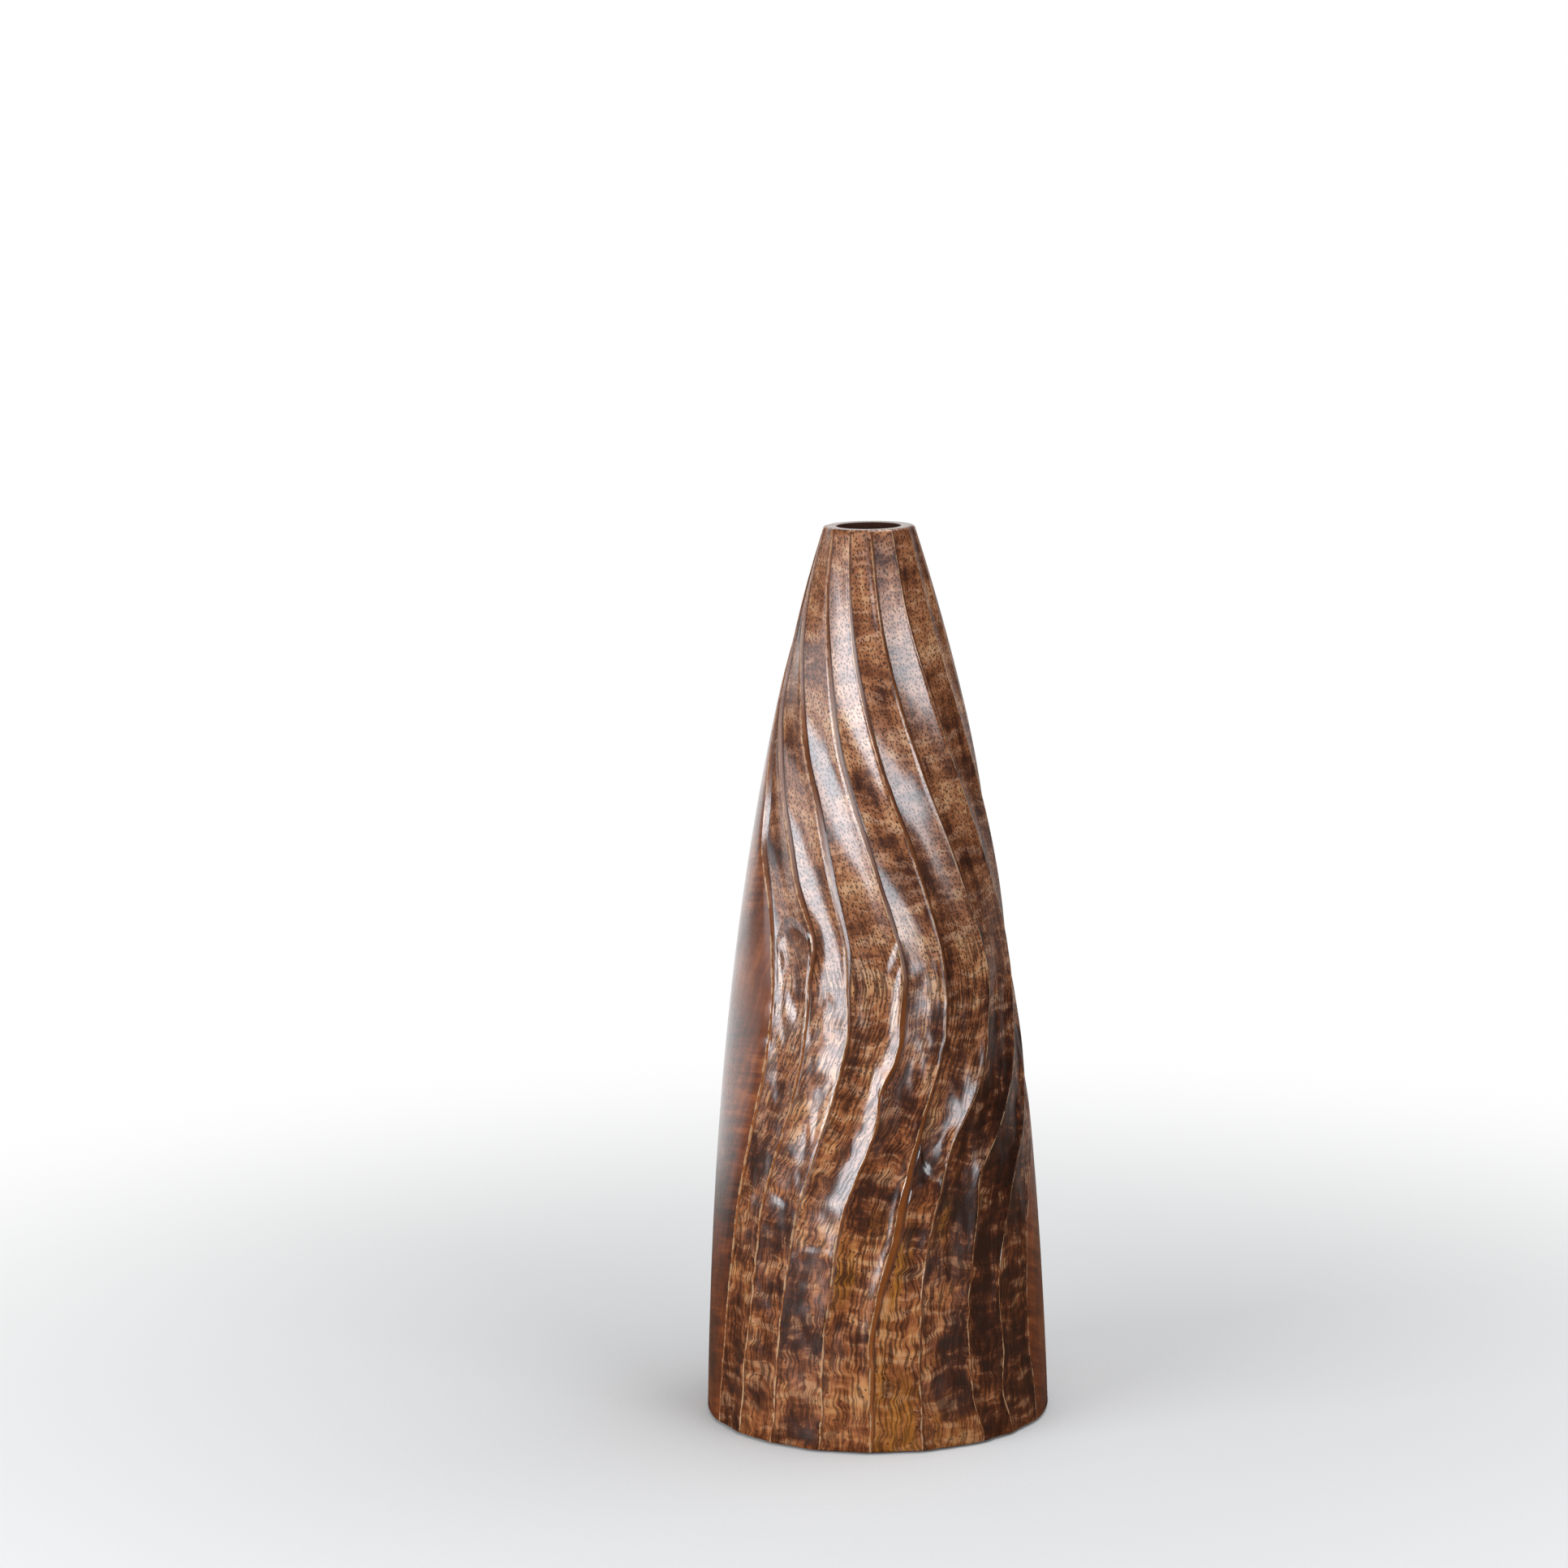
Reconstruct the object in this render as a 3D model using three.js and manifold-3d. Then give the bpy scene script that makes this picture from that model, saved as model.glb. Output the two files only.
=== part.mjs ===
// Tall wooden vase: a turned body with swaying carved ridges round its front, hollowed from the foot,
// closed by a glued base disc and standing on a felt disc. Millimetres, +Z up. The origin is the centre
// of the felt's underside, and the carved front faces -Y.

import * as THREE from 'three';
import { mergeVertices } from 'three/addons/utils/BufferGeometryUtils.js';
import Module from 'manifold-3d';

const wasm = await Module();
wasm.setup();

// Turned outline
const HEIGHT = 400;
const FOOT_RADIUS = 77;
const RIM_RADIUS = 20.2;
const FOOT_LEAN = 1.7;      // degrees that the wall leans in as it leaves the foot
const FOOT_SWEEP = 118;     // how far up the wall keeps that lean
const RIM_LEAN = 17.4;      // degrees that the wall leans in as it reaches the rim
const RIM_SWEEP = 145;      // how far down the wall keeps that lean
const FOOT_EASE = 1.2;      // chamfer that softens the foot's edge
const RIM_EASE = 0.7;       // chamfer that softens the rim's two edges

// Hollow, base disc and felt
const RIM_WALL = 6.7;       // wood between the bore and the outside at the rim
const WALL = 18;            // wood between the hollow and the turned outside, below the neck
const FOOT_RING = 17;       // width of the wooden ring that the foot leaves round the base disc
const LEDGE = 6;            // width of the shoulder that the base disc is glued against
const BASE_THICKNESS = 12;
const GLUE_GAP = 0.3;       // clearance round the base disc
const BASE_EASE = 0.8;      // chamfer round the base disc's two edges
const FELT_THICKNESS = 2;
const FELT_PROUD = 0.8;     // how far the felt stands out below the foot
const FELT_MARGIN = 2;      // felt kept back from the wall of the rebate

// Carving. Each ridge starts at its own angle on the rim, in degrees to the right of the front. On its
// way down, the whole fan sways to the right, turns back and closes up. LEVELS are shares of the height.
const RIDGE_ANGLES = [-124.7, -102.1, -78.6, -51.4, -25.9, 0.7, 29.8, 57.1, 80.8];
const LEVELS = [0, 0.15, 0.275, 0.4, 0.5125, 0.625, 0.75, 0.875, 1];
const SWAY = [13, 13, 21.1, 41.7, 53.7, 42.7, 25.2, 9.1, 0];
const SPREAD = [0.661, 0.614, 0.641, 0.73, 0.809, 0.807, 0.839, 0.883, 1];
const STEP_WIDTH = 2.1;     // the narrow coved face that drops from a ridge on its right
const STEP_DEPTH = [0.45, 0.8, 1.5, 2.1, 2.3, 2.1, 1.7, 1, 0.45];
const SCOOP_DEPTH = [0.85, 0.9, 1.15, 1.5, 1.6, 1.5, 1.2, 0.85, 0.55];

// Facets
const STEP_STATIONS = [0, 0.4];             // columns across a step, from its ridge
const SCOOP_STATIONS = [0, 0.2, 0.4, 0.6, 0.8];   // columns across a scooped band, past its step
const PLAIN_COLUMNS = 30;                   // columns across the plain back
const ROWS = 40;
const HOLLOW_SIDES = 48;
const HOLLOW_ROWS = 16;
const DISC_SIDES = 64;
const MERGE_TOLERANCE = 1e-4;
const OUTLINE_TOLERANCE = 1e-10;            // share of the outline to which a height is found on it

const FULL_TURN = 360;
const footFace = FELT_PROUD;
const woodHeight = HEIGHT - footFace;
const baseUnderside = FELT_THICKNESS;
const ledgeFace = baseUnderside + BASE_THICKNESS;
const rebateRadius = FOOT_RADIUS - FOOT_RING;
const boreRadius = RIM_RADIUS - RIM_WALL;

// The wall's outline from the foot to the rim, as radius and height.
const footLean = THREE.MathUtils.degToRad(FOOT_LEAN);
const rimLean = THREE.MathUtils.degToRad(RIM_LEAN);
const outline = new THREE.CubicBezierCurve(
  new THREE.Vector2(FOOT_RADIUS, footFace),
  new THREE.Vector2(
    FOOT_RADIUS - FOOT_SWEEP * Math.sin(footLean),
    footFace + FOOT_SWEEP * Math.cos(footLean),
  ),
  new THREE.Vector2(
    RIM_RADIUS + RIM_SWEEP * Math.sin(rimLean),
    HEIGHT - RIM_SWEEP * Math.cos(rimLean),
  ),
  new THREE.Vector2(RIM_RADIUS, HEIGHT),
);

// Radius of the turned wall at a height, found by halving along the outline.
function turnedRadius(z) {
  let low = 0;
  let high = 1;
  while (high - low > OUTLINE_TOLERANCE) {
    const middle = (low + high) / 2;
    if (outline.getPoint(middle).y < z) {
      low = middle;
    } else {
      high = middle;
    }
  }
  return outline.getPoint(low).x;
}

// A value that runs smoothly through its marks at LEVELS.
function along(marks) {
  const curve = new THREE.CubicInterpolant(LEVELS, marks, 1);
  return (level) => curve.evaluate(level)[0];
}

const sway = along(SWAY);
const spread = along(SPREAD);
const stepDepth = along(STEP_DEPTH);
const scoopDepth = along(SCOOP_DEPTH);

// One level of the carved outside: angle in degrees and depth below the turned wall, column by column.
// Each band steps down from the ridge on its left, then rises in a shallow scoop to the ridge on its right.
function carvedColumns(level, radius) {
  const ridges = RIDGE_ANGLES.map((angle) => sway(level) + spread(level) * angle);
  const columns = [];
  for (let band = 0; band < ridges.length - 1; band += 1) {
    const start = ridges[band];
    const end = ridges[band + 1];
    const stepEnd = start + THREE.MathUtils.radToDeg(STEP_WIDTH / radius);
    for (const share of STEP_STATIONS) {
      const cove = stepDepth(level) * (1 - (1 - share) ** 2);
      columns.push({ angle: THREE.MathUtils.lerp(start, stepEnd, share), depth: cove });
    }
    for (const share of SCOOP_STATIONS) {
      const slope = stepDepth(level) * (1 - share);
      const scoop = scoopDepth(level) * 4 * share * (1 - share);
      columns.push({ angle: THREE.MathUtils.lerp(stepEnd, end, share), depth: slope + scoop });
    }
  }
  const last = ridges[ridges.length - 1];
  const first = ridges[0] + FULL_TURN;
  for (let column = 0; column < PLAIN_COLUMNS; column += 1) {
    columns.push({ angle: THREE.MathUtils.lerp(last, first, column / PLAIN_COLUMNS), depth: 0 });
  }
  return columns;
}

// Heights of the rows up the outside, with how far each is drawn in to ease the foot and the rim.
function outsideRows() {
  const rows = [{ z: footFace, ease: FOOT_EASE }];
  const low = footFace + FOOT_EASE;
  const high = HEIGHT - RIM_EASE;
  for (let row = 0; row <= ROWS; row += 1) {
    rows.push({ z: THREE.MathUtils.lerp(low, high, row / ROWS), ease: 0 });
  }
  rows.push({ z: HEIGHT, ease: RIM_EASE });
  return rows;
}

// The carved outside as a closed skin: rings of columns that follow the ridges, capped at both ends.
function carvedSkin() {
  const rows = outsideRows();
  const points = [];
  let count = 0;
  for (const { z, ease } of rows) {
    const radius = turnedRadius(z);
    const columns = carvedColumns((z - footFace) / woodHeight, radius);
    count = columns.length;
    for (const { angle, depth } of columns) {
      const turn = THREE.MathUtils.degToRad(angle);
      const reach = radius - depth - ease;
      points.push(reach * Math.sin(turn), -reach * Math.cos(turn), z);
    }
  }
  const faces = [];
  for (let row = 0; row < rows.length - 1; row += 1) {
    for (let column = 0; column < count; column += 1) {
      const next = (column + 1) % count;
      const lowLeft = row * count + column;
      const lowRight = row * count + next;
      const highLeft = lowLeft + count;
      const highRight = lowRight + count;
      faces.push(lowLeft, lowRight, highRight, lowLeft, highRight, highLeft);
    }
  }
  const footCentre = points.length / 3;
  points.push(0, 0, footFace);
  const rimCentre = footCentre + 1;
  points.push(0, 0, HEIGHT);
  const topRow = (rows.length - 1) * count;
  for (let column = 0; column < count; column += 1) {
    const next = (column + 1) % count;
    faces.push(footCentre, next, column);
    faces.push(rimCentre, topRow + column, topRow + next);
  }
  const skin = new THREE.BufferGeometry();
  skin.setAttribute('position', new THREE.Float32BufferAttribute(points, 3));
  skin.setIndex(faces);
  return skin;
}

// A turned solid about Z from a profile of [radius, height] points that starts and ends on the axis.
function turned(profile, sides) {
  const points = profile.map(([radius, z]) => new THREE.Vector2(radius, z));
  return new THREE.LatheGeometry(points, sides).rotateX(Math.PI / 2);
}

// The hollow: rebate for the base disc, ledge, a cavity that follows the wall, and the bore of the neck.
function hollow() {
  const widest = rebateRadius - LEDGE;
  const cavityRadius = (z) => THREE.MathUtils.clamp(turnedRadius(z) - WALL, boreRadius, widest);
  const overshoot = BASE_THICKNESS;
  const profile = [
    [0, footFace - overshoot],
    [rebateRadius, footFace - overshoot],
    [rebateRadius, ledgeFace],
  ];
  const top = HEIGHT - RIM_EASE;
  for (let row = 0; row <= HOLLOW_ROWS; row += 1) {
    const z = THREE.MathUtils.lerp(ledgeFace, top, row / HOLLOW_ROWS);
    profile.push([cavityRadius(z), z]);
  }
  const flare = boreRadius + RIM_EASE;
  profile.push([flare, HEIGHT], [flare, HEIGHT + overshoot], [0, HEIGHT + overshoot]);
  return turned(profile, HOLLOW_SIDES);
}

// A closed solid from a geometry, with shared corners merged and empty triangles dropped.
function solidOf(geometry) {
  const bare = geometry.clone();
  bare.deleteAttribute('normal');
  bare.deleteAttribute('uv');
  const merged = mergeVertices(bare, MERGE_TOLERANCE);
  const corners = merged.index.array;
  const triangles = [];
  for (let at = 0; at < corners.length; at += 3) {
    const [a, b, c] = [corners[at], corners[at + 1], corners[at + 2]];
    if (a !== b && b !== c && c !== a) {
      triangles.push(a, b, c);
    }
  }
  return new wasm.Manifold(new wasm.Mesh({
    numProp: 3,
    vertProperties: merged.attributes.position.array,
    triVerts: new Uint32Array(triangles),
  }));
}

// The geometry of a finished solid.
function geometryOf(solid) {
  const mesh = solid.getMesh();
  const geometry = new THREE.BufferGeometry();
  geometry.setAttribute('position', new THREE.BufferAttribute(mesh.vertProperties, mesh.numProp));
  geometry.setIndex(new THREE.BufferAttribute(mesh.triVerts, 1));
  geometry.computeVertexNormals();
  return geometry;
}

function carvedBody() {
  const lacqueredWood = new THREE.MeshStandardMaterial({ color: 0x7d4a28, roughness: 0.32, metalness: 0 });
  const body = new THREE.Mesh(geometryOf(solidOf(carvedSkin()).subtract(solidOf(hollow()))), lacqueredWood);
  body.name = 'carved_body';
  return body;
}

function baseDisc() {
  const radius = rebateRadius - GLUE_GAP;
  const profile = [
    [0, 0],
    [radius - BASE_EASE, 0],
    [radius, BASE_EASE],
    [radius, BASE_THICKNESS - BASE_EASE],
    [radius - BASE_EASE, BASE_THICKNESS],
    [0, BASE_THICKNESS],
  ];
  const plainWood = new THREE.MeshStandardMaterial({ color: 0x9a6a42, roughness: 0.6, metalness: 0 });
  const disc = new THREE.Mesh(turned(profile, DISC_SIDES), plainWood);
  disc.name = 'base_disc';
  disc.position.z = baseUnderside;
  return disc;
}

function feltDisc() {
  const radius = rebateRadius - FELT_MARGIN;
  const profile = [
    [0, 0],
    [radius, 0],
    [radius, FELT_THICKNESS],
    [0, FELT_THICKNESS],
  ];
  const felt = new THREE.MeshStandardMaterial({ color: 0x3a2a20, roughness: 0.95, metalness: 0 });
  const disc = new THREE.Mesh(turned(profile, DISC_SIDES), felt);
  disc.name = 'felt_disc';
  return disc;
}

const vase = new THREE.Group();
vase.add(carvedBody(), baseDisc(), feltDisc());

export default vase;
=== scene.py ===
"""Looks of a carved wooden vase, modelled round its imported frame.

The body is drawn as a profile, turned about its axis and then carved: its columns slide along the swaying
ridges and sink by the step, the scoop and the tool marks of each band. Metres, +Z up, the carved front
towards -Y. Angles round the vase are counted from the front, positive to the viewer's right. Ridges and
bands are counted from the left, and a band lies on the right of the ridge with its number.
"""

import logging
import math
from dataclasses import dataclass, field, fields
from enum import Enum
from typing import ClassVar, Self, Union

import bpy
import numpy as np
from bpy.types import Material, Mesh, NodeTree, Object
from mathutils import Matrix, Vector

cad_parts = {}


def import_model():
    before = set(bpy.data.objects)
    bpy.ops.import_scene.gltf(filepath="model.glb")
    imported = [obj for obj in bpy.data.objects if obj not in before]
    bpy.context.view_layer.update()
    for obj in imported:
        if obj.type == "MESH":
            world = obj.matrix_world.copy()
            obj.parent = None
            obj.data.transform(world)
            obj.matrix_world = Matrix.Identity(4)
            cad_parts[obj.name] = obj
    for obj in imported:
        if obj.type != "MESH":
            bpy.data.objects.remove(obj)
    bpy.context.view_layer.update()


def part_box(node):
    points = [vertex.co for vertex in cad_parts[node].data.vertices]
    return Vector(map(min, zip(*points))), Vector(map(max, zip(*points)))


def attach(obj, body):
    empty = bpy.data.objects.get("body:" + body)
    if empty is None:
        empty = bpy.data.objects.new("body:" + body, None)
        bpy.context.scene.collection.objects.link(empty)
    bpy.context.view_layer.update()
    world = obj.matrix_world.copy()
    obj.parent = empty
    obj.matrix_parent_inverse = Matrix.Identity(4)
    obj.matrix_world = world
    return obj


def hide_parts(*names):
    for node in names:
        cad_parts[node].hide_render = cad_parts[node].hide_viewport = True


MM = 0.001
WELD = 0.01 * MM
ROOT_BODY = "root"
PROFILE_ROW = "profile_row"
FLOAT = "NodeSocketFloat"
VECTOR = "NodeSocketVector"

log = logging.getLogger("vase")

Array = np.ndarray
Colour = tuple[float, float, float, float]
Point = tuple[float, float, float]
Range = tuple[float, float]
# A rise has two places and the values there.
Rise = tuple[float, float, float, float]
Socket = bpy.types.NodeSocket
Outputs = bpy.types.bpy_prop_collection
Feed = Union[Socket, float, tuple]


class Slot(Enum):
    """Material slots of the record."""

    LACQUERED_WOOD = "lacquered_wood"
    PLAIN_WOOD = "plain_wood"
    FELT = "felt"


class Node(Enum):
    """Nodes of the frame that the pieces stand for."""

    CARVED_BODY = "carved_body"
    BASE_DISC = "base_disc"
    FELT_DISC = "felt_disc"


class Domain(Enum):
    """Parts of a mesh that a number can be kept on."""

    POINT = "POINT"
    CORNER = "CORNER"


class Blend(Enum):
    """Ways of mixing two colours."""

    MIX = "MIX"
    MULTIPLY = "MULTIPLY"


def seen(red: int, green: int, blue: int) -> Colour:
    """Turn a colour as it looks on a screen, 0 to 255, into the linear colour that a shader takes.

    Args:
        red: Red share.
        green: Green share.
        blue: Blue share.

    Returns:
        The linear colour with full alpha.
    """
    shares = [channel / 255 for channel in (red, green, blue)]
    linear = [s / 12.92 if s <= 0.04045 else ((s + 0.055) / 1.055) ** 2.4 for s in shares]
    return (*linear, 1.0)


def smooth_step(low: float, high: float, value: Array) -> Array:
    """Rise smoothly from 0 at low to 1 at high.

    Args:
        low: Where the rise starts.
        high: Where it ends, which may lie below low.
        value: Where to read it.

    Returns:
        Shares from 0 to 1.
    """
    share = np.clip((value - low) / (high - low), 0, 1)
    return share * share * (3 - 2 * share)


def bell(at: Array, middle: float, reach: float) -> Array:
    """Bell curve that is 1 at its middle and has fallen to 0.37 at its reach."""
    return np.exp(-((at - middle) / reach) ** 2)


def arch(share: Array) -> Array:
    """Bow over a width, 0 at both sides and 1 in the middle."""
    return 4 * share * (1 - share)


def late_arch(share: Array) -> Array:
    """Bow over a width, 0 at both sides and 1 at two thirds of the way across."""
    return 6.75 * share * share * (1 - share)


def through_marks(places: tuple[float, ...], marks: tuple[float, ...], at: Array) -> Array:
    """Run smoothly through marks, each tangent the mean of the slopes beside it.

    Args:
        places: Rising places of the marks.
        marks: Values there.
        at: Places to read.

    Returns:
        The values at those places.
    """
    x = np.array(places)
    y = np.array(marks)
    slopes = np.diff(y) / np.diff(x)
    tangents = np.concatenate([slopes[:1], (slopes[1:] + slopes[:-1]) / 2, slopes[-1:]])
    where = np.clip(at, x[0], x[-1])
    k = np.clip(np.searchsorted(x, where, side="right") - 1, 0, len(x) - 2)
    span = x[k + 1] - x[k]
    t = (where - x[k]) / span
    from_left = (1 + 2 * t) * (1 - t) ** 2 * y[k] + t * (1 - t) ** 2 * span * tangents[k]
    from_right = t * t * (3 - 2 * t) * y[k + 1] + t * t * (t - 1) * span * tangents[k + 1]
    return from_left + from_right


class HandNoise:
    """Smooth noise on a plane, for the unevenness of hand work. It is the same on every run."""

    SIZE = 64

    def __init__(self, seed: int) -> None:
        """Draw the lattice from a seed."""
        self.lattice = np.random.default_rng(seed).uniform(-1, 1, (self.SIZE, self.SIZE))

    def at(self, x: Array, y: Array) -> Array:
        """Read the noise.

        Args:
            x: First coordinate, one lattice cell to the unit.
            y: Second coordinate.

        Returns:
            Values from -1 to 1.
        """
        column = np.floor(x).astype(int)
        row = np.floor(y).astype(int)
        u = smooth_step(0, 1, x - column)
        v = smooth_step(0, 1, y - row)
        left = column % self.SIZE
        right = (column + 1) % self.SIZE
        low = row % self.SIZE
        high = (row + 1) % self.SIZE
        bottom = self.lattice[left, low] * (1 - u) + self.lattice[right, low] * u
        top = self.lattice[left, high] * (1 - u) + self.lattice[right, high] * u
        return bottom * (1 - v) + top * v

    def along(self, x: Array, row: float) -> Array:
        """Read the noise along one row."""
        return self.at(x, np.full_like(x, row))


@dataclass(frozen=True)
class Mark:
    """A mark at one place of the body. Tables give the fields that are lengths in millimetres."""

    lengths: ClassVar[tuple[str, ...]] = ()

    @classmethod
    def table(cls, *rows: tuple[float, ...]) -> tuple[Self, ...]:
        """Read marks from a table.

        Args:
            rows: The fields of each mark, in their order.

        Returns:
            The marks, with their lengths in metres.
        """
        units = [MM if item.name in cls.lengths else 1 for item in fields(cls)]
        return tuple(cls(*(value * unit for value, unit in zip(row, units))) for row in rows)


@dataclass(frozen=True)
class Stray(Mark):
    """A place where the hand let a ridge stray from the fan."""

    lengths = ("height", "reach")
    ridge: int
    height: float
    degrees: float
    reach: float


@dataclass(frozen=True)
class Swell(Mark):
    """A stretch where the step beside a ridge is cut wider."""

    lengths = ("height", "widening", "reach")
    ridge: int
    height: float
    widening: float
    reach: float


@dataclass(frozen=True)
class Lip(Mark):
    """A stretch where a band is hollowed deeper beside the ridge on its right, which leaves a lip."""

    lengths = ("height", "depth", "reach")
    band: int
    height: float
    depth: float
    reach: float


@dataclass(frozen=True)
class Nick(Mark):
    """A short dent of the gouge or a torn chip: its place, size and lean from the upright in degrees."""

    lengths = ("height", "length", "width", "depth")
    angle: float
    height: float
    length: float
    width: float
    depth: float
    lean: float


@dataclass(frozen=True)
class StrokeEnd(Mark):
    """The lip where a stroke of the gouge stops short in a band, bowed across it."""

    lengths = ("height", "drop", "reach", "bow", "tilt")
    band: int
    height: float
    drop: float
    reach: float
    bow: float
    tilt: float


@dataclass(frozen=True)
class Lumps(Mark):
    """Lumps of one kind that the gouge left: depth, width, length and a shift from band to band."""

    lengths = ("depth", "width", "length")
    seed: int
    depth: float
    width: float
    length: float
    band_shift: float


@dataclass(frozen=True)
class Patch(Mark):
    """A tinted patch in a band, between two shares of the band's width. A step lies from -1 to 0."""

    lengths = ("height", "half_height")
    band: int
    height: float
    half_height: float
    left: float
    right: float
    strength: float


STRAYS = Stray.table(
    (0, 262, -5, 16), (1, 325, -8, 25), (1, 225, 4, 14), (2, 368, -5.5, 25), (2, 285, 2.5, 20),
    (2, 205, -2, 15), (3, 345, 2, 25), (3, 195, -2.3, 14), (3, 160, -3.3, 12), (4, 205, -3, 30),
    (4, 155, -2, 15), (4, 95, 3.2, 28), (5, 135, -3.2, 14), (5, 170, 1.7, 12), (6, 370, -2.2, 25),
    (6, 225, 2.5, 28), (6, 165, 2.7, 16), (6, 122, -3.4, 16), (6, 0, 4, 14), (7, 400, 2.5, 14),
    (7, 75, -3.4, 28), (7, 135, 2.7, 14), (7, 22, -3, 14), (8, 120, 2, 10),
)
SWELLS = Swell.table(
    (3, 190, 2.4, 22), (5, 197, 1.6, 24), (4, 96, 3.2, 32), (4, 36, 1.4, 36), (6, 190, 1.0, 30),
)
LIPS = Lip.table(
    (2, 170, 1.3, 75), (3, 95, 1.1, 34), (4, 365, 0.35, 22), (4, 165, 0.3, 30), (1, 150, 0.3, 40),
)
NICKS = Nick.table(
    (7.5, 223, 15, 1.8, 0.55, -24), (4.5, 215, 13, 1.6, 0.5, -28), (2.5, 207, 12, 1.8, 0.55, -24),
    (9.5, 213, 10, 1.4, 0.4, -20), (0.5, 199, 9, 1.5, 0.4, -22), (1.5, 160, 5, 3.0, 0.7, -10),
    (13.0, 145, 5, 2.2, 0.5, 15), (-18.0, 4, 11, 3.2, 0.9, 42), (-45, 214, 10, 2.6, 0.5, 10),
    (-43, 204, 8, 2.2, 0.4, -14), (-47, 195, 9, 2.6, 0.45, 8), (-48, 180, 5, 3.2, 0.8, 30),
    (-39, 112, 8, 4.0, 0.3, 60), (-41, 97, 9, 4.2, 0.25, 70), (-28, 86, 10, 4.0, 0.12, 80),
    (-27, 76, 9, 4.6, 0.12, 60), (24, 137, 10, 2.4, 0.2, -52), (17, 119, 12, 2.0, 0.3, 78),
)
STROKE_ENDS = StrokeEnd.table(
    (0, 223, 0.9, 14, 9, 4), (4, 132, 0.9, 12, -7, -10), (4, 117, 0.6, 10, 5, 3), (2, 88, 0.25, 12, 3, 2),
    (1, 106, 0.18, 9, 3, -3), (6, 104, 0.5, 12, 4, 5), (3, 118, 0.35, 10, 3, 2), (0, 106, 0.4, 9, 3, 2),
)
GOUGE_LUMPS = Lumps.table((21, 0.34, 7.5, 12, 9.7), (22, 0.15, 3.4, 6, 4.3), (23, 0.19, 3.1, 24, 7.9))
# Patches of the wood's figure, dark above 0 and pale below it.
# Pale patches on bands 1 and 2 at 200 to 250 mm are painted highlight, where the lacquer's sheen falls.
FIGURE_AND_SHEEN_PATCHES = Patch.table(
    (0, 312, 14, 0, 1, 0.5), (0, 265, 16, 0, 1, 0.4), (0, 128, 16, 0, 1, 0.4), (0, 30, 40, 0, 1, 0.45),
    (1, 352, 6, 0, 1, 0.5), (1, 308, 9, 0, 1, 0.55), (1, 268, 10, 0, 0.4, 0.4), (1, 96, 12, 0, 1, 0.55),
    (1, 72, 6, 0.4, 1, 0.4), (1, 32, 12, 0.2, 1, 0.4), (1, 124, 10, 0.5, 1, 0.35),
    (2, 300, 12, 0, 0.6, 0.55), (2, 345, 6, 0, 1, 0.25), (2, 230, 12, 0, 1, -0.3),
    (2, 68, 13, 0, 0.5, 0.75), (2, 52, 5, 0, 1, 0.4), (2, 8, 8, 0.2, 0.8, 0.6), (2, 86, 4, 0, 1, 0.4),
    (3, 290, 9, 0, 0.6, 0.55), (3, 262, 18, 0.2, 0.8, 0.4), (3, 182, 10, 0.6, 1, 0.7),
    (3, 145, 24, 0, 0.55, 0.3), (3, 112, 12, 0, 1, 0.4), (3, 82, 4, 0, 1, 0.5), (3, 55, 4, 0, 1, 0.5),
    (4, 284, 10, 0, 0.8, 0.35), (4, 222, 36, 0, 0.4, 0.45), (4, 112, 12, 0, 1, 0.4),
    (4, 140, 26, 0, 0.9, 0.45), (4, 96, 8, 0, 0.7, 0.45), (4, 84, 5, 0.1, 0.8, 0.45),
    (4, 28, 5, 0.7, 1, 0.5), (5, 388, 6, 0, 1, 0.5), (5, 330, 14, 0, 0.5, 0.25), (5, 245, 24, 0, 1, 0.4),
    (5, 190, 26, 0, 1, 0.3), (5, 135, 30, 0, 1, 0.7), (5, 90, 18, 0, 1, 0.6), (5, 42, 22, 0.4, 1, 0.9),
    (6, 290, 30, 0, 1, 0.35), (6, 250, 10, 0.1, 0.5, 0.6), (6, 150, 50, 0, 1, 0.6), (6, 60, 60, 0, 1, 0.8),
    (7, 190, 70, 0, 1, 0.5), (7, 60, 60, 0, 1, 0.75), (8, 174, 5, 0.9, 1, 0.5), (8, 120, 30, 0.82, 1, 0.4),
    (8, 40, 40, 0.8, 1, 0.3), (2, 185, 28, 0.4, 1, -0.4), (3, 205, 20, 0.4, 1, -0.35),
    (4, 205, 20, 0.1, 1, -0.4), (4, 152, 12, 0, 0.5, -0.35), (3, 24, 18, 0, 1, -0.35),
    (3, 88, 9, 0.3, 1, -0.35), (5, 70, 6, 0.1, 0.8, -0.5), (2, 98, 12, 0.6, 1, -0.45),
    (3, 95, 8, 0, 0.6, -0.3), (1, 140, 16, 0, 1, -0.25), (2, 250, 14, 0.2, 1, -0.4),
    (3, 235, 14, 0, 0.8, -0.3), (1, 200, 30, 0.1, 0.9, -0.3), (2, 208, 10, 0, 0.7, -0.3),
    (2, 30, 12, 0.1, 1, -0.35),
)
HONEY_PATCHES = Patch.table(
    (3, 78, 14, 0, 0.5, 0.8), (4, 82, 24, 0, 0.3, 0.9), (4, 12, 22, 0, 1, 0.8), (4, 40, 14, 0, 0.4, 0.5),
    (5, 98, 12, 0, 0.3, 0.6), (3, 100, 8, 0.7, 1, 0.5), (5, 8, 10, 0, 0.8, 0.5), (2, 118, 10, 0.8, 1, 0.4),
)
# Steps that get a painted sheen: a pale grey-lilac laid on their faces in place of the lacquer's
# reflection.
SHEEN_PAINTED_STEPS = Patch.table(
    (1, 290, 40, -1, 0, 0.8), (2, 345, 24, -1, 0, 0.8), (2, 262, 24, -1, 0, 0.8), (3, 300, 42, -1, 0, 1.0),
    (3, 228, 18, -1, 0, 0.7), (4, 348, 26, -1, 0, 1.0), (5, 262, 20, -1, 0, 0.5), (7, 335, 50, -1, 0, 0.9),
)


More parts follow.
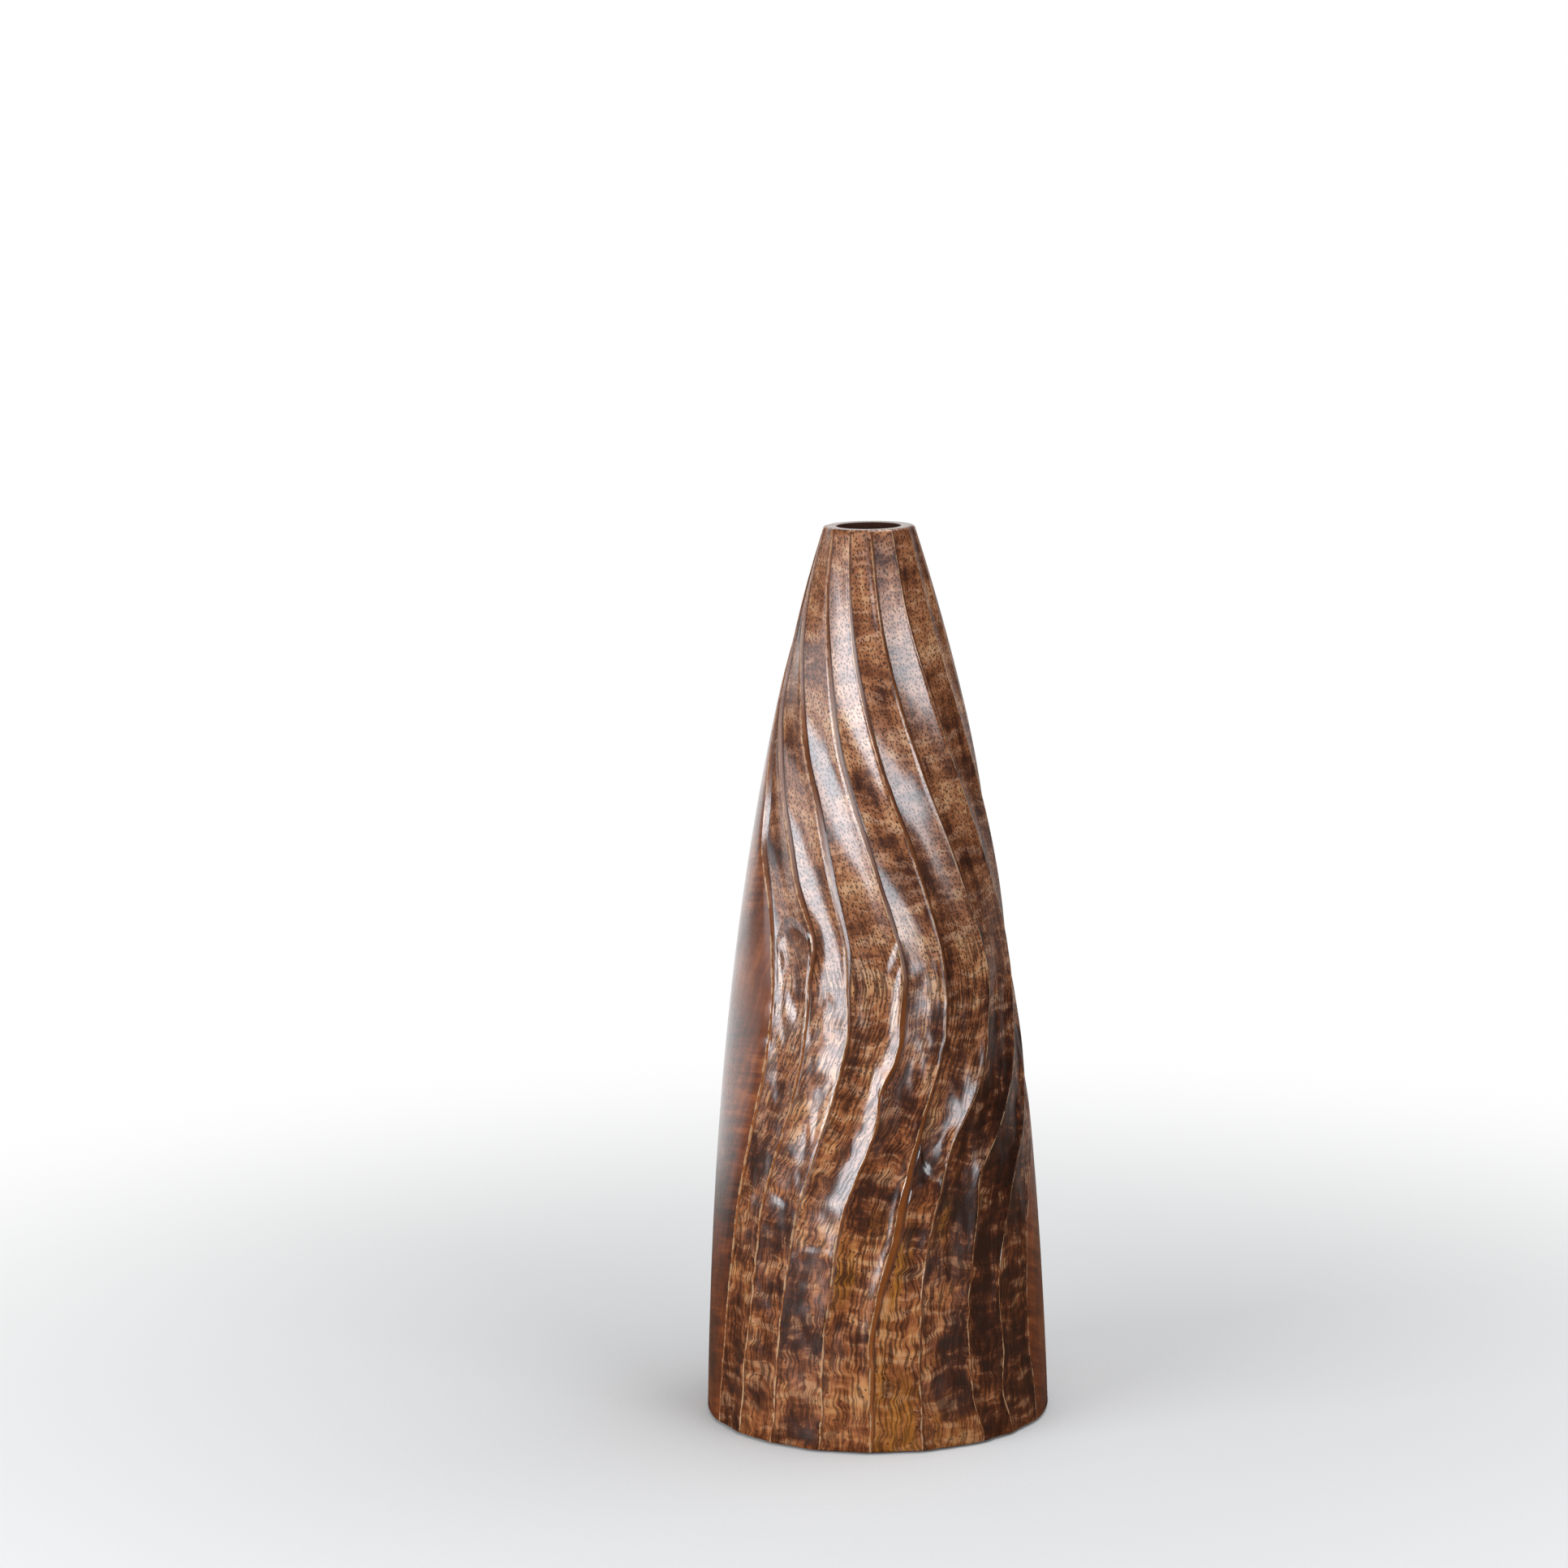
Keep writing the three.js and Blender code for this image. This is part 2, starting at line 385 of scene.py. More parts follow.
@dataclass(frozen=True)
class Wander:
    """How much a cut grows and shrinks along its ridge, over what length, and its own row of the noise."""

    share: float
    length: float
    row: float
    rows_apart: ClassVar[float] = 5.7

    def factor(self, noise: HandNoise, height: Array, band: int) -> Array:
        """Factor of the cut at each height of a band."""
        return 1 + self.share * noise.along(height / self.length, self.rows_apart * band + self.row)


@dataclass(frozen=True)
class Fray:
    """How patches fray at the edges: how far, and the noise's pace across a band, between bands and up."""

    reach: float
    pace: float
    band_shift: float
    length: float
    row: float = 0.0

    def shift(self, noise: HandNoise, band: Array, share: Array, height: Array) -> Array:
        """Shift of each place, given by its band, its share of the band's width and its height."""
        across = self.pace * share + self.band_shift * band
        return self.reach * noise.at(across, height / self.length + self.row)


@dataclass(frozen=True)
class TurnedOutline:
    """The wall that the lathe leaves, one cubic curve of radius against height from the foot to the rim."""

    foot_height: float
    rim_height: float
    foot_radius: float = 77 * MM
    rim_radius: float = 20.2 * MM
    foot_lean: float = math.radians(1.7)
    foot_sweep: float = 118 * MM
    rim_lean: float = math.radians(17.4)
    rim_sweep: float = 145 * MM
    samples: int = 600

    def radius(self, height: Array) -> Array:
        """Radius of the turned wall.

        Args:
            height: Heights above the table.

        Returns:
            The radius at each height.
        """
        corners = np.array([
            (self.foot_radius, self.foot_height),
            (self.foot_radius - self.foot_sweep * math.sin(self.foot_lean),
             self.foot_height + self.foot_sweep * math.cos(self.foot_lean)),
            (self.rim_radius + self.rim_sweep * math.sin(self.rim_lean),
             self.rim_height - self.rim_sweep * math.cos(self.rim_lean)),
            (self.rim_radius, self.rim_height),
        ])
        t = np.linspace(0, 1, self.samples)[:, None]
        weights = np.hstack([(1 - t) ** 3, 3 * t * (1 - t) ** 2, 3 * t * t * (1 - t), t ** 3])
        radii, heights = (weights @ corners).T
        return np.interp(height, heights, radii)


@dataclass(frozen=True)
class CarvedFan:
    """The fan of ridges: each starts at its angle on the rim, sways right, turns back and closes up."""

    outline: TurnedOutline
    ridge_angles: tuple[float, ...] = (-124.7, -102.1, -78.6, -51.4, -25.9, 0.7, 29.8, 57.1, 80.8)
    levels: tuple[float, ...] = (0, 0.15, 0.275, 0.4, 0.5125, 0.625, 0.75, 0.875, 1)
    sway_marks: tuple[float, ...] = (13, 13, 21.1, 41.7, 53.7, 42.7, 25.2, 9.1, 0)
    spread_marks: tuple[float, ...] = (0.661, 0.614, 0.641, 0.73, 0.809, 0.807, 0.839, 0.883, 1)
    strays: tuple[Stray, ...] = STRAYS
    unsteady_below: Range = (0.24, 0.19)
    wobble: float = 0.55
    wobble_above: float = 0.35
    wobble_length: float = 17 * MM
    wobble_row: float = 0.5
    chip: float = 0.32
    chip_length: float = 5.5 * MM
    chip_row: float = 40.5
    rows_apart: float = 3.4

    @property
    def bands(self) -> int:
        """Number of carved bands, which is also the number of the plain back."""
        return len(self.ridge_angles) - 1

    def level(self, height: Array) -> Array:
        """Share of the wood's height, from 0 at the foot to 1 at the rim."""
        return (height - self.outline.foot_height) / (self.outline.rim_height - self.outline.foot_height)

    def sway(self, height: Array) -> Array:
        """Degrees that the whole fan has swayed to the right at each height."""
        return through_marks(self.levels, self.sway_marks, self.level(height))

    def ridges(self, height: Array) -> Array:
        """Angles of the ridges.

        Args:
            height: Heights of the rows.

        Returns:
            One row of ridge angles in degrees for each height.
        """
        spread = through_marks(self.levels, self.spread_marks, self.level(height))
        angles = self.sway(height)[:, None] + spread[:, None] * np.array(self.ridge_angles)[None, :]
        for stray in self.strays:
            angles[:, stray.ridge] += stray.degrees * bell(height, stray.height, stray.reach)
        unsteady = HandNoise(seed=5)
        lower = smooth_step(*self.unsteady_below, height)
        wobble = self.wobble * (self.wobble_above + (1 - self.wobble_above) * lower)
        for ridge in range(len(self.ridge_angles)):
            row = self.rows_apart * ridge
            wobbled = unsteady.along(height / self.wobble_length, row + self.wobble_row)
            chipped = unsteady.along(height / self.chip_length, row + self.chip_row)
            angles[:, ridge] += wobble * wobbled + self.chip * lower * chipped
        return angles


@dataclass
class ColumnGrid:
    """Where each column of the carved body lies on each row, and what it is part of.

    Across runs over a step, its scoop and the plain back by the class's own numbers. A ridge closes one
    band and opens the next, so across_closing holds what its column says to the faces on its left.
    """

    STEP: ClassVar[float] = 0.0
    SCOOP: ClassVar[float] = 1.0
    SCOOP_END: ClassVar[float] = 2.0
    BACK: ClassVar[float] = 3.0
    BACK_END: ClassVar[float] = 4.0
    angle: Array
    depth: Array
    across: Array
    across_closing: Array
    to_edge: Array
    band: Array

    @classmethod
    def join(cls, parts: list[Self]) -> Self:
        """Put the columns of the bands side by side."""
        return cls(*(np.hstack([getattr(part, item.name) for part in parts]) for item in fields(cls)))


def whole_numbers(items: bpy.types.bpy_prop_collection, name: str) -> Array:
    """Read one whole number of each item of a mesh.

    Args:
        items: Points, corners, faces or values of an attribute.
        name: Name of the number.

    Returns:
        The numbers.
    """
    values = np.empty(len(items), dtype=int)
    items.foreach_get(name, values)
    return values


def store(mesh: Mesh, name: str, domain: Domain, values: Array) -> None:
    """Keep a number for each point or corner of a mesh.

    Args:
        mesh: The mesh.
        name: Name that the finish reads it by.
        domain: What carries the numbers.
        values: The numbers.
    """
    layer = mesh.attributes.new(name, "FLOAT", domain.value)
    layer.data.foreach_set("value", np.asarray(values, dtype=np.float32))


def start_piece(name: str) -> Object:
    """Name the primitive that was just added and take it as the piece.

    Args:
        name: Name of the piece and its mesh.

    Returns:
        The active object.
    """
    piece = bpy.context.active_object
    piece.name = name
    piece.data.name = name
    return piece


def draw_profile(name: str, profile: Array) -> Object:
    """Draw a closed profile in the upright plane through the front, point after point.

    Args:
        name: Name of the new piece.
        profile: Rows that start with radius and height.

    Returns:
        The piece, with its row number kept on each point.
    """
    bpy.ops.object.select_all(action="DESELECT")
    bpy.ops.mesh.primitive_plane_add(size=MM)
    piece = start_piece(name)
    places = [Vector((0, -radius, height)) for radius, height in profile[:, :2]]
    bpy.ops.object.mode_set(mode="EDIT")
    bpy.ops.mesh.select_all(action="SELECT")
    bpy.ops.mesh.merge(type="CENTER")
    bpy.ops.transform.translate(value=places[0])
    for last, place in zip(places, places[1:]):
        bpy.ops.mesh.extrude_region_move(TRANSFORM_OT_translate={"value": place - last})
    bpy.ops.object.mode_set(mode="OBJECT")
    piece.data.vertices[0].select = True
    piece.data.vertices[len(places) - 1].select = True
    bpy.ops.object.mode_set(mode="EDIT")
    bpy.ops.mesh.edge_face_add()
    bpy.ops.object.mode_set(mode="OBJECT")
    rows = piece.data.attributes.new(PROFILE_ROW, "INT", "POINT")
    rows.data.foreach_set("value", np.arange(len(places), dtype=np.int32))
    return piece


def spin_profile(piece: Object, steps: int) -> None:
    """Turn a drawn profile about the upright axis, close it and point its faces outwards.

    Args:
        piece: The piece that holds the profile.
        steps: Columns round the turn.
    """
    bpy.ops.object.mode_set(mode="EDIT")
    bpy.ops.mesh.select_all(action="SELECT")
    bpy.ops.mesh.spin(steps=steps, angle=math.tau, center=(0, 0, 0), axis=(0, 0, 1))
    bpy.ops.mesh.select_all(action="SELECT")
    bpy.ops.mesh.remove_doubles(threshold=WELD)
    bpy.ops.mesh.normals_make_consistent(inside=False)
    bpy.ops.object.mode_set(mode="OBJECT")


def shade_smooth(piece: Object, angle: float) -> None:
    """Shade a piece smooth and keep edges sharper than an angle crisp.

    Args:
        piece: The piece.
        angle: The angle in radians.
    """
    bpy.ops.object.select_all(action="DESELECT")
    piece.select_set(True)
    bpy.context.view_layer.objects.active = piece
    bpy.ops.object.shade_smooth_by_angle(angle=angle)


@dataclass
class VasePiece:
    """A piece of the vase, which takes the place of one node of the frame."""

    node: ClassVar[Node]
    slot: ClassVar[Slot]

    def dress(self, piece: Object, material: Material) -> None:
        """Give the piece its finish, put it in the place of its node and report it.

        Args:
            piece: The built piece.
            material: Its finish.
        """
        piece.data.materials.clear()
        piece.data.materials.append(material)
        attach(piece, ROOT_BODY)
        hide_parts(self.node.value)
        log.info("%s: %d faces", piece.name, len(piece.data.polygons))


@dataclass
class CarvedBody(VasePiece):
    """The turned, hollowed and carved wooden body, in one piece from the foot to the rim."""

    node = Node.CARVED_BODY
    slot = Slot.LACQUERED_WOOD
    foot_height: float
    rim_height: float
    ledge_height: float
    rim_wall: float = 6.7 * MM
    wall: float = 18 * MM
    foot_ring: float = 17 * MM
    ledge: float = 6 * MM
    foot_ease: float = 1.2 * MM
    rim_ease: float = 0.7 * MM
    ease_roundness: float = 0.3
    rim_carving: float = 0.4
    rows: int = 270
    hollow_rows: int = 16
    step_columns: int = 6
    scoop_columns: int = 24
    plain_columns: int = 80
    column_crowding: float = 0.6
    sharp_angle: float = math.radians(27)
    step_width: float = 2.1 * MM
    step_wander: Wander = Wander(0.35, 23 * MM, 0.0)
    step_slope: float = 0.84
    finest_step: float = 0.6 * MM
    widest_step: float = 0.3
    step_depth: tuple[float, ...] = (0.45, 0.8, 1.5, 2.1, 2.3, 2.1, 1.7, 1.15, 0.65)
    depth_wander: Wander = Wander(0.25, 31 * MM, 2.3)
    lower_share: tuple[float, ...] = (0.6, 0.42, 0.42, 0.6, 0.85, 0.65, 0.65, 0.55)
    lower_heights: Range = (0.2, 0.27)
    cove: Range = (1.0, 0.1)
    cove_heights: Range = (0.19, 0.25)
    scoop_depth: tuple[float, ...] = (0.85, 0.9, 1.15, 1.5, 1.6, 1.5, 1.2, 0.85, 0.55)
    scoop_wander: Wander = Wander(0.25, 37 * MM, 4.1)
    swells: tuple[Swell, ...] = SWELLS
    swell_drop: float = 0.6
    lips: tuple[Lip, ...] = LIPS
    crest_wear: float = 0.26 * MM
    crest_reach: float = 0.75 * MM
    lumps: tuple[Lumps, ...] = GOUGE_LUMPS
    lumps_at_ridge: float = 0.25
    lumps_above: float = 0.12
    lumpy_below: Range = (0.245, 0.2)
    stroke_ends: tuple[StrokeEnd, ...] = STROKE_ENDS
    stroke_lip: float = 1.6 * MM
    stroke_fade: float = 0.25
    nicks: tuple[Nick, ...] = NICKS
    grain_radius: float = 62 * MM
    frays_up: tuple[Fray, ...] = (Fray(5 * MM, 3.1, 5.3, 19 * MM), Fray(3 * MM, 8.3, 2.9, 6 * MM))
    fray_across: Fray = Fray(0.25, 2.3, 3.7, 11 * MM, 20.0)
    patch_fade: Range = (0.2, 0.1)
    outline: TurnedOutline = field(init=False)
    fan: CarvedFan = field(init=False)

    def __post_init__(self) -> None:
        """Draw the outline and the fan at this body's height."""
        self.outline = TurnedOutline(self.foot_height, self.rim_height)
        self.fan = CarvedFan(self.outline)

    @property
    def bore_radius(self) -> float:
        """Radius of the bore through the neck."""
        return self.outline.rim_radius - self.rim_wall

    @property
    def rebate_radius(self) -> float:
        """Radius of the rebate that takes the base disc."""
        return self.outline.foot_radius - self.foot_ring

    @property
    def columns(self) -> int:
        """Columns round the whole body."""
        return self.fan.bands * (self.step_columns + self.scoop_columns) + self.plain_columns

    def build(self) -> Object:
        """Turn the profile, carve it and mark its bands.

        Returns:
            The finished body.
        """
        profile = self.profile()
        body = draw_profile("carved_body_wood", profile)
        spin_profile(body, self.columns)
        self.carve(body.data, profile)
        shade_smooth(body, self.sharp_angle)
        return body

    def profile(self) -> Array:
        """Draw the closed profile of the wood.

        Returns:
            Rows of radius, height and share of carving, from the foot's outer edge up the outside, over the
            rim, down the hollow and back across the foot.
        """
        foot, bottom = self.outline.foot_radius, self.foot_height
        rim, top = self.outline.rim_radius, self.rim_height
        bore, rebate = self.bore_radius, self.rebate_radius
        ease = self.foot_ease
        round_off = self.ease_roundness * ease
        points = [(foot - ease, bottom, 1), (foot - round_off, bottom + round_off, 1)]
        outside = np.linspace(bottom + ease, top - self.rim_ease, self.rows)
        points += [(radius, z, 1) for radius, z in zip(self.outline.radius(outside), outside)]
        ease = self.rim_ease
        round_off = self.ease_roundness * ease
        points += [(rim - round_off, top - round_off, 1), (rim - ease, top, 1)]
        points += [((rim + bore) / 2, top, self.rim_carving)]
        points += [(bore + ease, top, 0), (bore + round_off, top - round_off, 0)]
        inside = np.linspace(top - ease, self.ledge_height, self.hollow_rows)
        hollow = np.clip(self.outline.radius(inside) - self.wall, bore, rebate - self.ledge)
        points += [(radius, z, 0) for radius, z in zip(hollow, inside)]
        lip = self.rim_ease / 2
        points += [(rebate, self.ledge_height, 0), (rebate, bottom + lip, 0), (rebate + lip, bottom, 0)]
        points += [((rebate + foot) / 2, bottom, 0)]
        return np.array(points)

    def carve(self, mesh: Mesh, profile: Array) -> None:
        """Move the turned blank's points to the carved surface and store what the finish reads.

        Args:
            mesh: The turned blank.
            profile: The profile that it was turned from.
        """
        blank = np.empty(len(mesh.vertices) * 3)
        mesh.vertices.foreach_get("co", blank)
        blank = blank.reshape(-1, 3)
        turn = math.tau / self.columns
        column = np.round(np.arctan2(blank[:, 0], -blank[:, 1]) / turn).astype(int) % self.columns
        row = whole_numbers(mesh.attributes[PROFILE_ROW].data, "value")
        turned, height, carving = profile.T
        radius = self.outline.radius(height)
        grid = self.lay_columns(height, radius)
        depth = grid.depth + self.tool_marks(grid, height[:, None], radius[:, None])
        angle = np.radians(grid.angle[row, column])
        reach = turned[row] - carving[row] * depth[row, column]
        points = np.column_stack([reach * np.sin(angle), -reach * np.cos(angle), height[row]])
        mesh.vertices.foreach_set("co", points.ravel())
        mesh.attributes.remove(mesh.attributes[PROFILE_ROW])
        mesh.update()
        store(mesh, "outside", Domain.POINT, carving[row])
        self.mark_bands(mesh, grid, height, row, column)

    def lay_columns(self, height: Array, radius: Array) -> ColumnGrid:
        """Lay the columns along the ridges and work out how deep each is cut.

        Args:
            height: Height of each row.
            radius: Turned radius at each height.

        Returns:
            The grid of columns.
        """
        ridges = self.fan.ridges(height)
        sides = np.column_stack([ridges, ridges[:, 0] + 360])
        to_degrees = np.degrees(1 / radius)[:, None]
        parts = []
        for band in range(self.fan.bands + 1):
            start = sides[:, [band]]
            width = (sides[:, [band + 1]] - start) / to_degrees
            if band < self.fan.bands:
                out, depth, across = self.cut_band(band, height[:, None], width)
            else:
                share = np.arange(self.plain_columns) / self.plain_columns
                out, depth, across = width * share, 0.0, ColumnGrid.BACK + share
            to_crest = np.minimum(out, width - out)
            closing = np.tile(across, (len(height), 1))
            closing[:, 0] = ColumnGrid.SCOOP_END if band else ColumnGrid.BACK_END
            parts.append(ColumnGrid(
                angle=start + out * to_degrees,
                depth=depth + self.crest_wear * bell(to_crest, 0, self.crest_reach),
                across=np.tile(across, (len(height), 1)),
                across_closing=closing,
                to_edge=to_crest,
                band=np.full_like(out, band),
            ))
        return ColumnGrid.join(parts)

    def cut_band(self, band: int, height: Array, width: Array) -> tuple[Array, Array, Array]:
        """Cut one band: a steep step beside its ridge and the hollow scoop of the gouge up to the next one.

        Args:
            band: Number of the band.
            height: Height of each row.
            width: Width of the band on each row.

        Returns:
            How far out from the ridge each column lies, how deep it is cut and its place across.
        """
        uneven = HandNoise(seed=11)
        level = self.fan.level(height)
        drop = through_marks(self.fan.levels, self.step_depth, level) * MM
        drop = drop * np.interp(height, self.lower_heights, (self.lower_share[band], 1))
        drop = drop * self.depth_wander.factor(uneven, height, band)
        step = self.step_width * self.step_wander.factor(uneven, height, band)
        step = np.clip(step, self.finest_step, np.maximum(drop / self.step_slope, self.finest_step))
        for swell in self.swells:
            if swell.ridge == band:
                wider = swell.widening * bell(height, swell.height, swell.reach)
                step = step + wider
                drop = drop + self.swell_drop * wider
        step = np.minimum(step, self.widest_step * width)
        scoop = through_marks(self.fan.levels, self.scoop_depth, level) * MM
        scoop = scoop * self.scoop_wander.factor(uneven, height, band)
        hollow = np.zeros_like(height)
        for lip in self.lips:
            if lip.band == band:
                hollow = hollow + lip.depth * bell(height, lip.height, lip.reach)
        face = np.arange(self.step_columns) / self.step_columns
        coved = np.interp(height, self.cove_heights, self.cove)
        even = np.arange(self.scoop_columns) / self.scoop_columns
        bowl = even - self.column_crowding * np.sin(math.tau * even) / math.tau
        out = np.hstack([step * face, step + (width - step) * bowl])
        depth = np.hstack([
            drop * (face + coved * face * (1 - face)),
            drop * (1 - bowl) + scoop * arch(bowl) + hollow * late_arch(bowl),
        ])
        return out, depth, np.concatenate([ColumnGrid.STEP + face, ColumnGrid.SCOOP + bowl])

    def tool_marks(self, grid: ColumnGrid, height: Array, radius: Array) -> Array:
        """Lumps, stroke ends and nicks that the gouge left, mostly in the lower half.

        Args:
            grid: The columns.
            height: Height of each row, as one column.
            radius: Turned radius at each height, as one column.

        Returns:
            Extra depth for each column on each row.
        """
        z = np.broadcast_to(height, grid.angle.shape)
        arc = np.radians(grid.angle) * radius
        share = np.clip(grid.across - ColumnGrid.SCOOP, 0, 1)
        belly = arch(share)
        lower = self.lumps_above + (1 - self.lumps_above) * smooth_step(*self.lumpy_below, z)
        inward = self.lumps_at_ridge + (1 - self.lumps_at_ridge) * belly
        lumpy = (grid.band < self.fan.bands) * inward * lower
        marks = np.zeros_like(arc)
        for lumps in self.lumps:
            around = arc / lumps.width + lumps.band_shift * grid.band
            marks = marks + lumpy * lumps.depth * HandNoise(lumps.seed).at(around, z / lumps.length)
        inner = smooth_step(0, self.stroke_fade, belly)
        for end in self.stroke_ends:
            below = end.height + end.bow * belly + end.tilt * (share - 0.5) - z
            lip = smooth_step(0, self.stroke_lip, below) * np.exp(-np.maximum(below, 0) / end.reach)
            marks = marks - (grid.band == end.band) * end.drop * lip * inner
        for nick in self.nicks:
            lean = math.radians(nick.lean)
            right = np.radians(grid.angle - nick.angle) * radius
            up = z - nick.height
            along = right * math.sin(lean) - up * math.cos(lean)
            sideways = right * math.cos(lean) + up * math.sin(lean)
            marks = marks + nick.depth * bell(along, 0, nick.length / 2) * bell(sideways, 0, nick.width / 2)
        return marks

    def mark_bands(
        self, mesh: Mesh, grid: ColumnGrid, height: Array, row: Array, column: Array
    ) -> None:
        """Store each face corner's place across its band, distance to the crest, band, arc and tints.

        Args:
            mesh: The carved mesh.
            grid: The columns.
            height: Height of each row.
            row: Row of each point.
            column: Column of each point.
        """
        corner_point = whole_numbers(mesh.loops, "vertex_index")
        starts = whole_numbers(mesh.polygons, "loop_start")
        sizes = whole_numbers(mesh.polygons, "loop_total")
        corner_row = row[corner_point]
        corner_column = column[corner_point]
        here = (corner_row, corner_column)
        lowest = np.minimum.reduceat(corner_column, starts)
        highest = np.maximum.reduceat(corner_column, starts)
        first = np.repeat(np.where(highest - lowest > 1, highest, lowest), sizes)
        across = np.where(corner_column != first, grid.across_closing[here], grid.across[here])
        layer = mesh.uv_layers.new(name="carving")
        layer.data.foreach_set("uv", np.column_stack([across, grid.to_edge[here]]).ravel())
        band = grid.band[0, first]
        store(mesh, "band", Domain.CORNER, band)
        seam = (corner_column == 0) & (first == self.columns - 1)
        turn = grid.angle[here] + 360 * seam - self.fan.sway(height)[corner_row]
        around = np.minimum(self.outline.radius(height), self.grain_radius)[corner_row]
        store(mesh, "arc", Domain.CORNER, np.radians(turn) * around)
        share = across - np.where(band == self.fan.bands, ColumnGrid.BACK, ColumnGrid.SCOOP)
        uneven = HandNoise(seed=31)
        z = height[corner_row]
        frayed_z = z + sum(fray.shift(uneven, band, share, z) for fray in self.frays_up)
        frayed_share = share + self.fray_across.shift(uneven, band, share, z)
        tints = {"figure_and_painted_sheen": FIGURE_AND_SHEEN_PATCHES, "honey": HONEY_PATCHES, "painted_sheen": SHEEN_PAINTED_STEPS}
        for name, patches in tints.items():
            store(mesh, name, Domain.CORNER, self.tint(patches, band, frayed_share, frayed_z))

    def tint(self, patches: tuple[Patch, ...], band: Array, share: Array, height: Array) -> Array:
        """Add up patches of one tint.

        Args:
            patches: The patches.
            band: Band of each place.
            share: Share of the band's width there.
            height: Height there.

        Returns:
            Strength of the tint at each place.
        """
        outer, inner = self.patch_fade
        tint = np.zeros(len(height))
        for patch in patches:
            window = smooth_step(patch.left - outer, patch.left + inner, share)
            window = window * smooth_step(patch.right + outer, patch.right - inner, share)
            reach = np.abs(height - patch.height) / patch.half_height
            tint += (band == patch.band) * patch.strength * window * np.exp(-reach ** 4)
        return np.clip(tint, -1, 1)


@dataclass
class Disc(VasePiece):
    """A flat disc that fills its node's box, with its edges eased."""

    low: Vector
    high: Vector
    sides: int = 128
    flatness: float = 0.9
    ease_segments: int = 3
    ease_angle: float = math.radians(60)

    @property
    def radius(self) -> float:
        """Radius that the disc is cut to."""
        return (self.high.x - self.low.x) / 2

    @property
    def thickness(self) -> float:
        """Thickness of the disc."""
        return self.high.z - self.low.z

    def start(self, name: str) -> Object:
        """Add the plain disc and open it in edit mode.

        Args:
            name: Name of the piece.

        Returns:
            The disc.
        """
        bpy.ops.object.select_all(action="DESELECT")
        bpy.ops.mesh.primitive_cylinder_add(
            vertices=self.sides, radius=self.radius, depth=self.thickness,
            location=(0, 0, (self.low.z + self.high.z) / 2),
        )
        piece = start_piece(name)
        bpy.ops.object.transform_apply(location=True, rotation=True, scale=True)
        bpy.ops.object.mode_set(mode="EDIT")
        bpy.ops.mesh.select_mode(type="FACE")
        return piece

    def select_ends(self, piece: Object) -> None:
        """Select the two flat faces in the middle of the disc's ends, from edit mode.

        Args:
            piece: The disc.
        """
        bpy.ops.mesh.select_all(action="DESELECT")
        bpy.ops.object.mode_set(mode="OBJECT")
        for face in piece.data.polygons:
            face.select = abs(face.normal.z) > self.flatness and len(face.vertices) == self.sides
        bpy.ops.object.mode_set(mode="EDIT")

    def ease_edges(self, piece: Object, width: float) -> None:
        """Close edit mode and ease the disc's sharp edges.

        Args:
            piece: The disc.
            width: Width of the easing.
        """
        bpy.ops.object.mode_set(mode="OBJECT")
        bevel = piece.modifiers.new("eased_edges", "BEVEL")
        bevel.width = width
        bevel.segments = self.ease_segments
        bevel.limit_method = "ANGLE"
        bevel.angle_limit = self.ease_angle
        bpy.ops.object.modifier_apply(modifier=bevel.name)


@dataclass
class BaseDisc(Disc):
    """The turned disc that is glued into the rebate and closes the hollow."""

    node = Node.BASE_DISC
    slot = Slot.PLAIN_WOOD
    ease: float = 0.8 * MM
    grooves: int = 4
    groove_inset: float = 9 * MM
    groove_width: float = 1.2 * MM
    groove_depth: float = 0.3 * MM
    sharp_angle: float = math.radians(35)

    def build(self) -> Object:
        """Model the disc with eased edges and the shallow rings that the turning tool left on both faces.

        Returns:
            The finished disc.
        """
        piece = self.start("base_disc_wood")
        for _ in range(self.grooves):
            self.select_ends(piece)
            bpy.ops.mesh.inset(thickness=self.groove_inset, use_individual=True)
            for depth in (-self.groove_depth, self.groove_depth):
                bpy.ops.mesh.inset(thickness=self.groove_width, depth=depth, use_individual=True)
        self.ease_edges(piece, self.ease)
        shade_smooth(piece, self.sharp_angle)
        return piece


@dataclass
class FeltDisc(Disc):
    """The felt under the base disc: a cut disc with a soft, slightly frayed edge."""

    node = Node.FELT_DISC
    slot = Slot.FELT
    sides: int = 144
    rings: int = 6
    soft_share: float = 0.35
    fray: float = 0.25 * MM
    fray_from: float = 0.9
    sharp_angle: float = math.radians(50)

    def build(self) -> Object:
        """Model the disc, soften its edge and let the cut wander a little.

        Returns:
            The finished felt.
        """
        piece = self.start("felt_disc_cloth")
        for _ in range(self.rings):
            self.select_ends(piece)
            bpy.ops.mesh.inset(thickness=self.radius / (self.rings + 1), use_individual=True)
        self.ease_edges(piece, self.soft_share * self.thickness)
        ragged = HandNoise(seed=41)
        for point in piece.data.vertices:
            reach = math.hypot(point.co.x, point.co.y)
            if reach > self.fray_from * self.radius:
                turn = math.atan2(point.co.y, point.co.x) / math.tau
                wander = ragged.at(np.array([turn * HandNoise.SIZE]), np.array([point.co.z / MM]))[0]
                pull = 1 - self.fray * (0.5 + 0.5 * wander) / reach
                point.co.x *= pull
                point.co.y *= pull
        shade_smooth(piece, self.sharp_angle)
        return piece

    def dress(self, piece: Object, material: Material) -> None:
        """Dress the felt.

        Args:
            piece: The built felt.
            material: Its finish.
        """
        super().dress(piece, material)


@dataclass(frozen=True)
class Cloud:
    """Cloudy noise: its cells to the metre, its octaves and how strong the finer ones are."""

    cells: Union[float, Point]
    detail: float = 2.0
    rough: float = 0.5


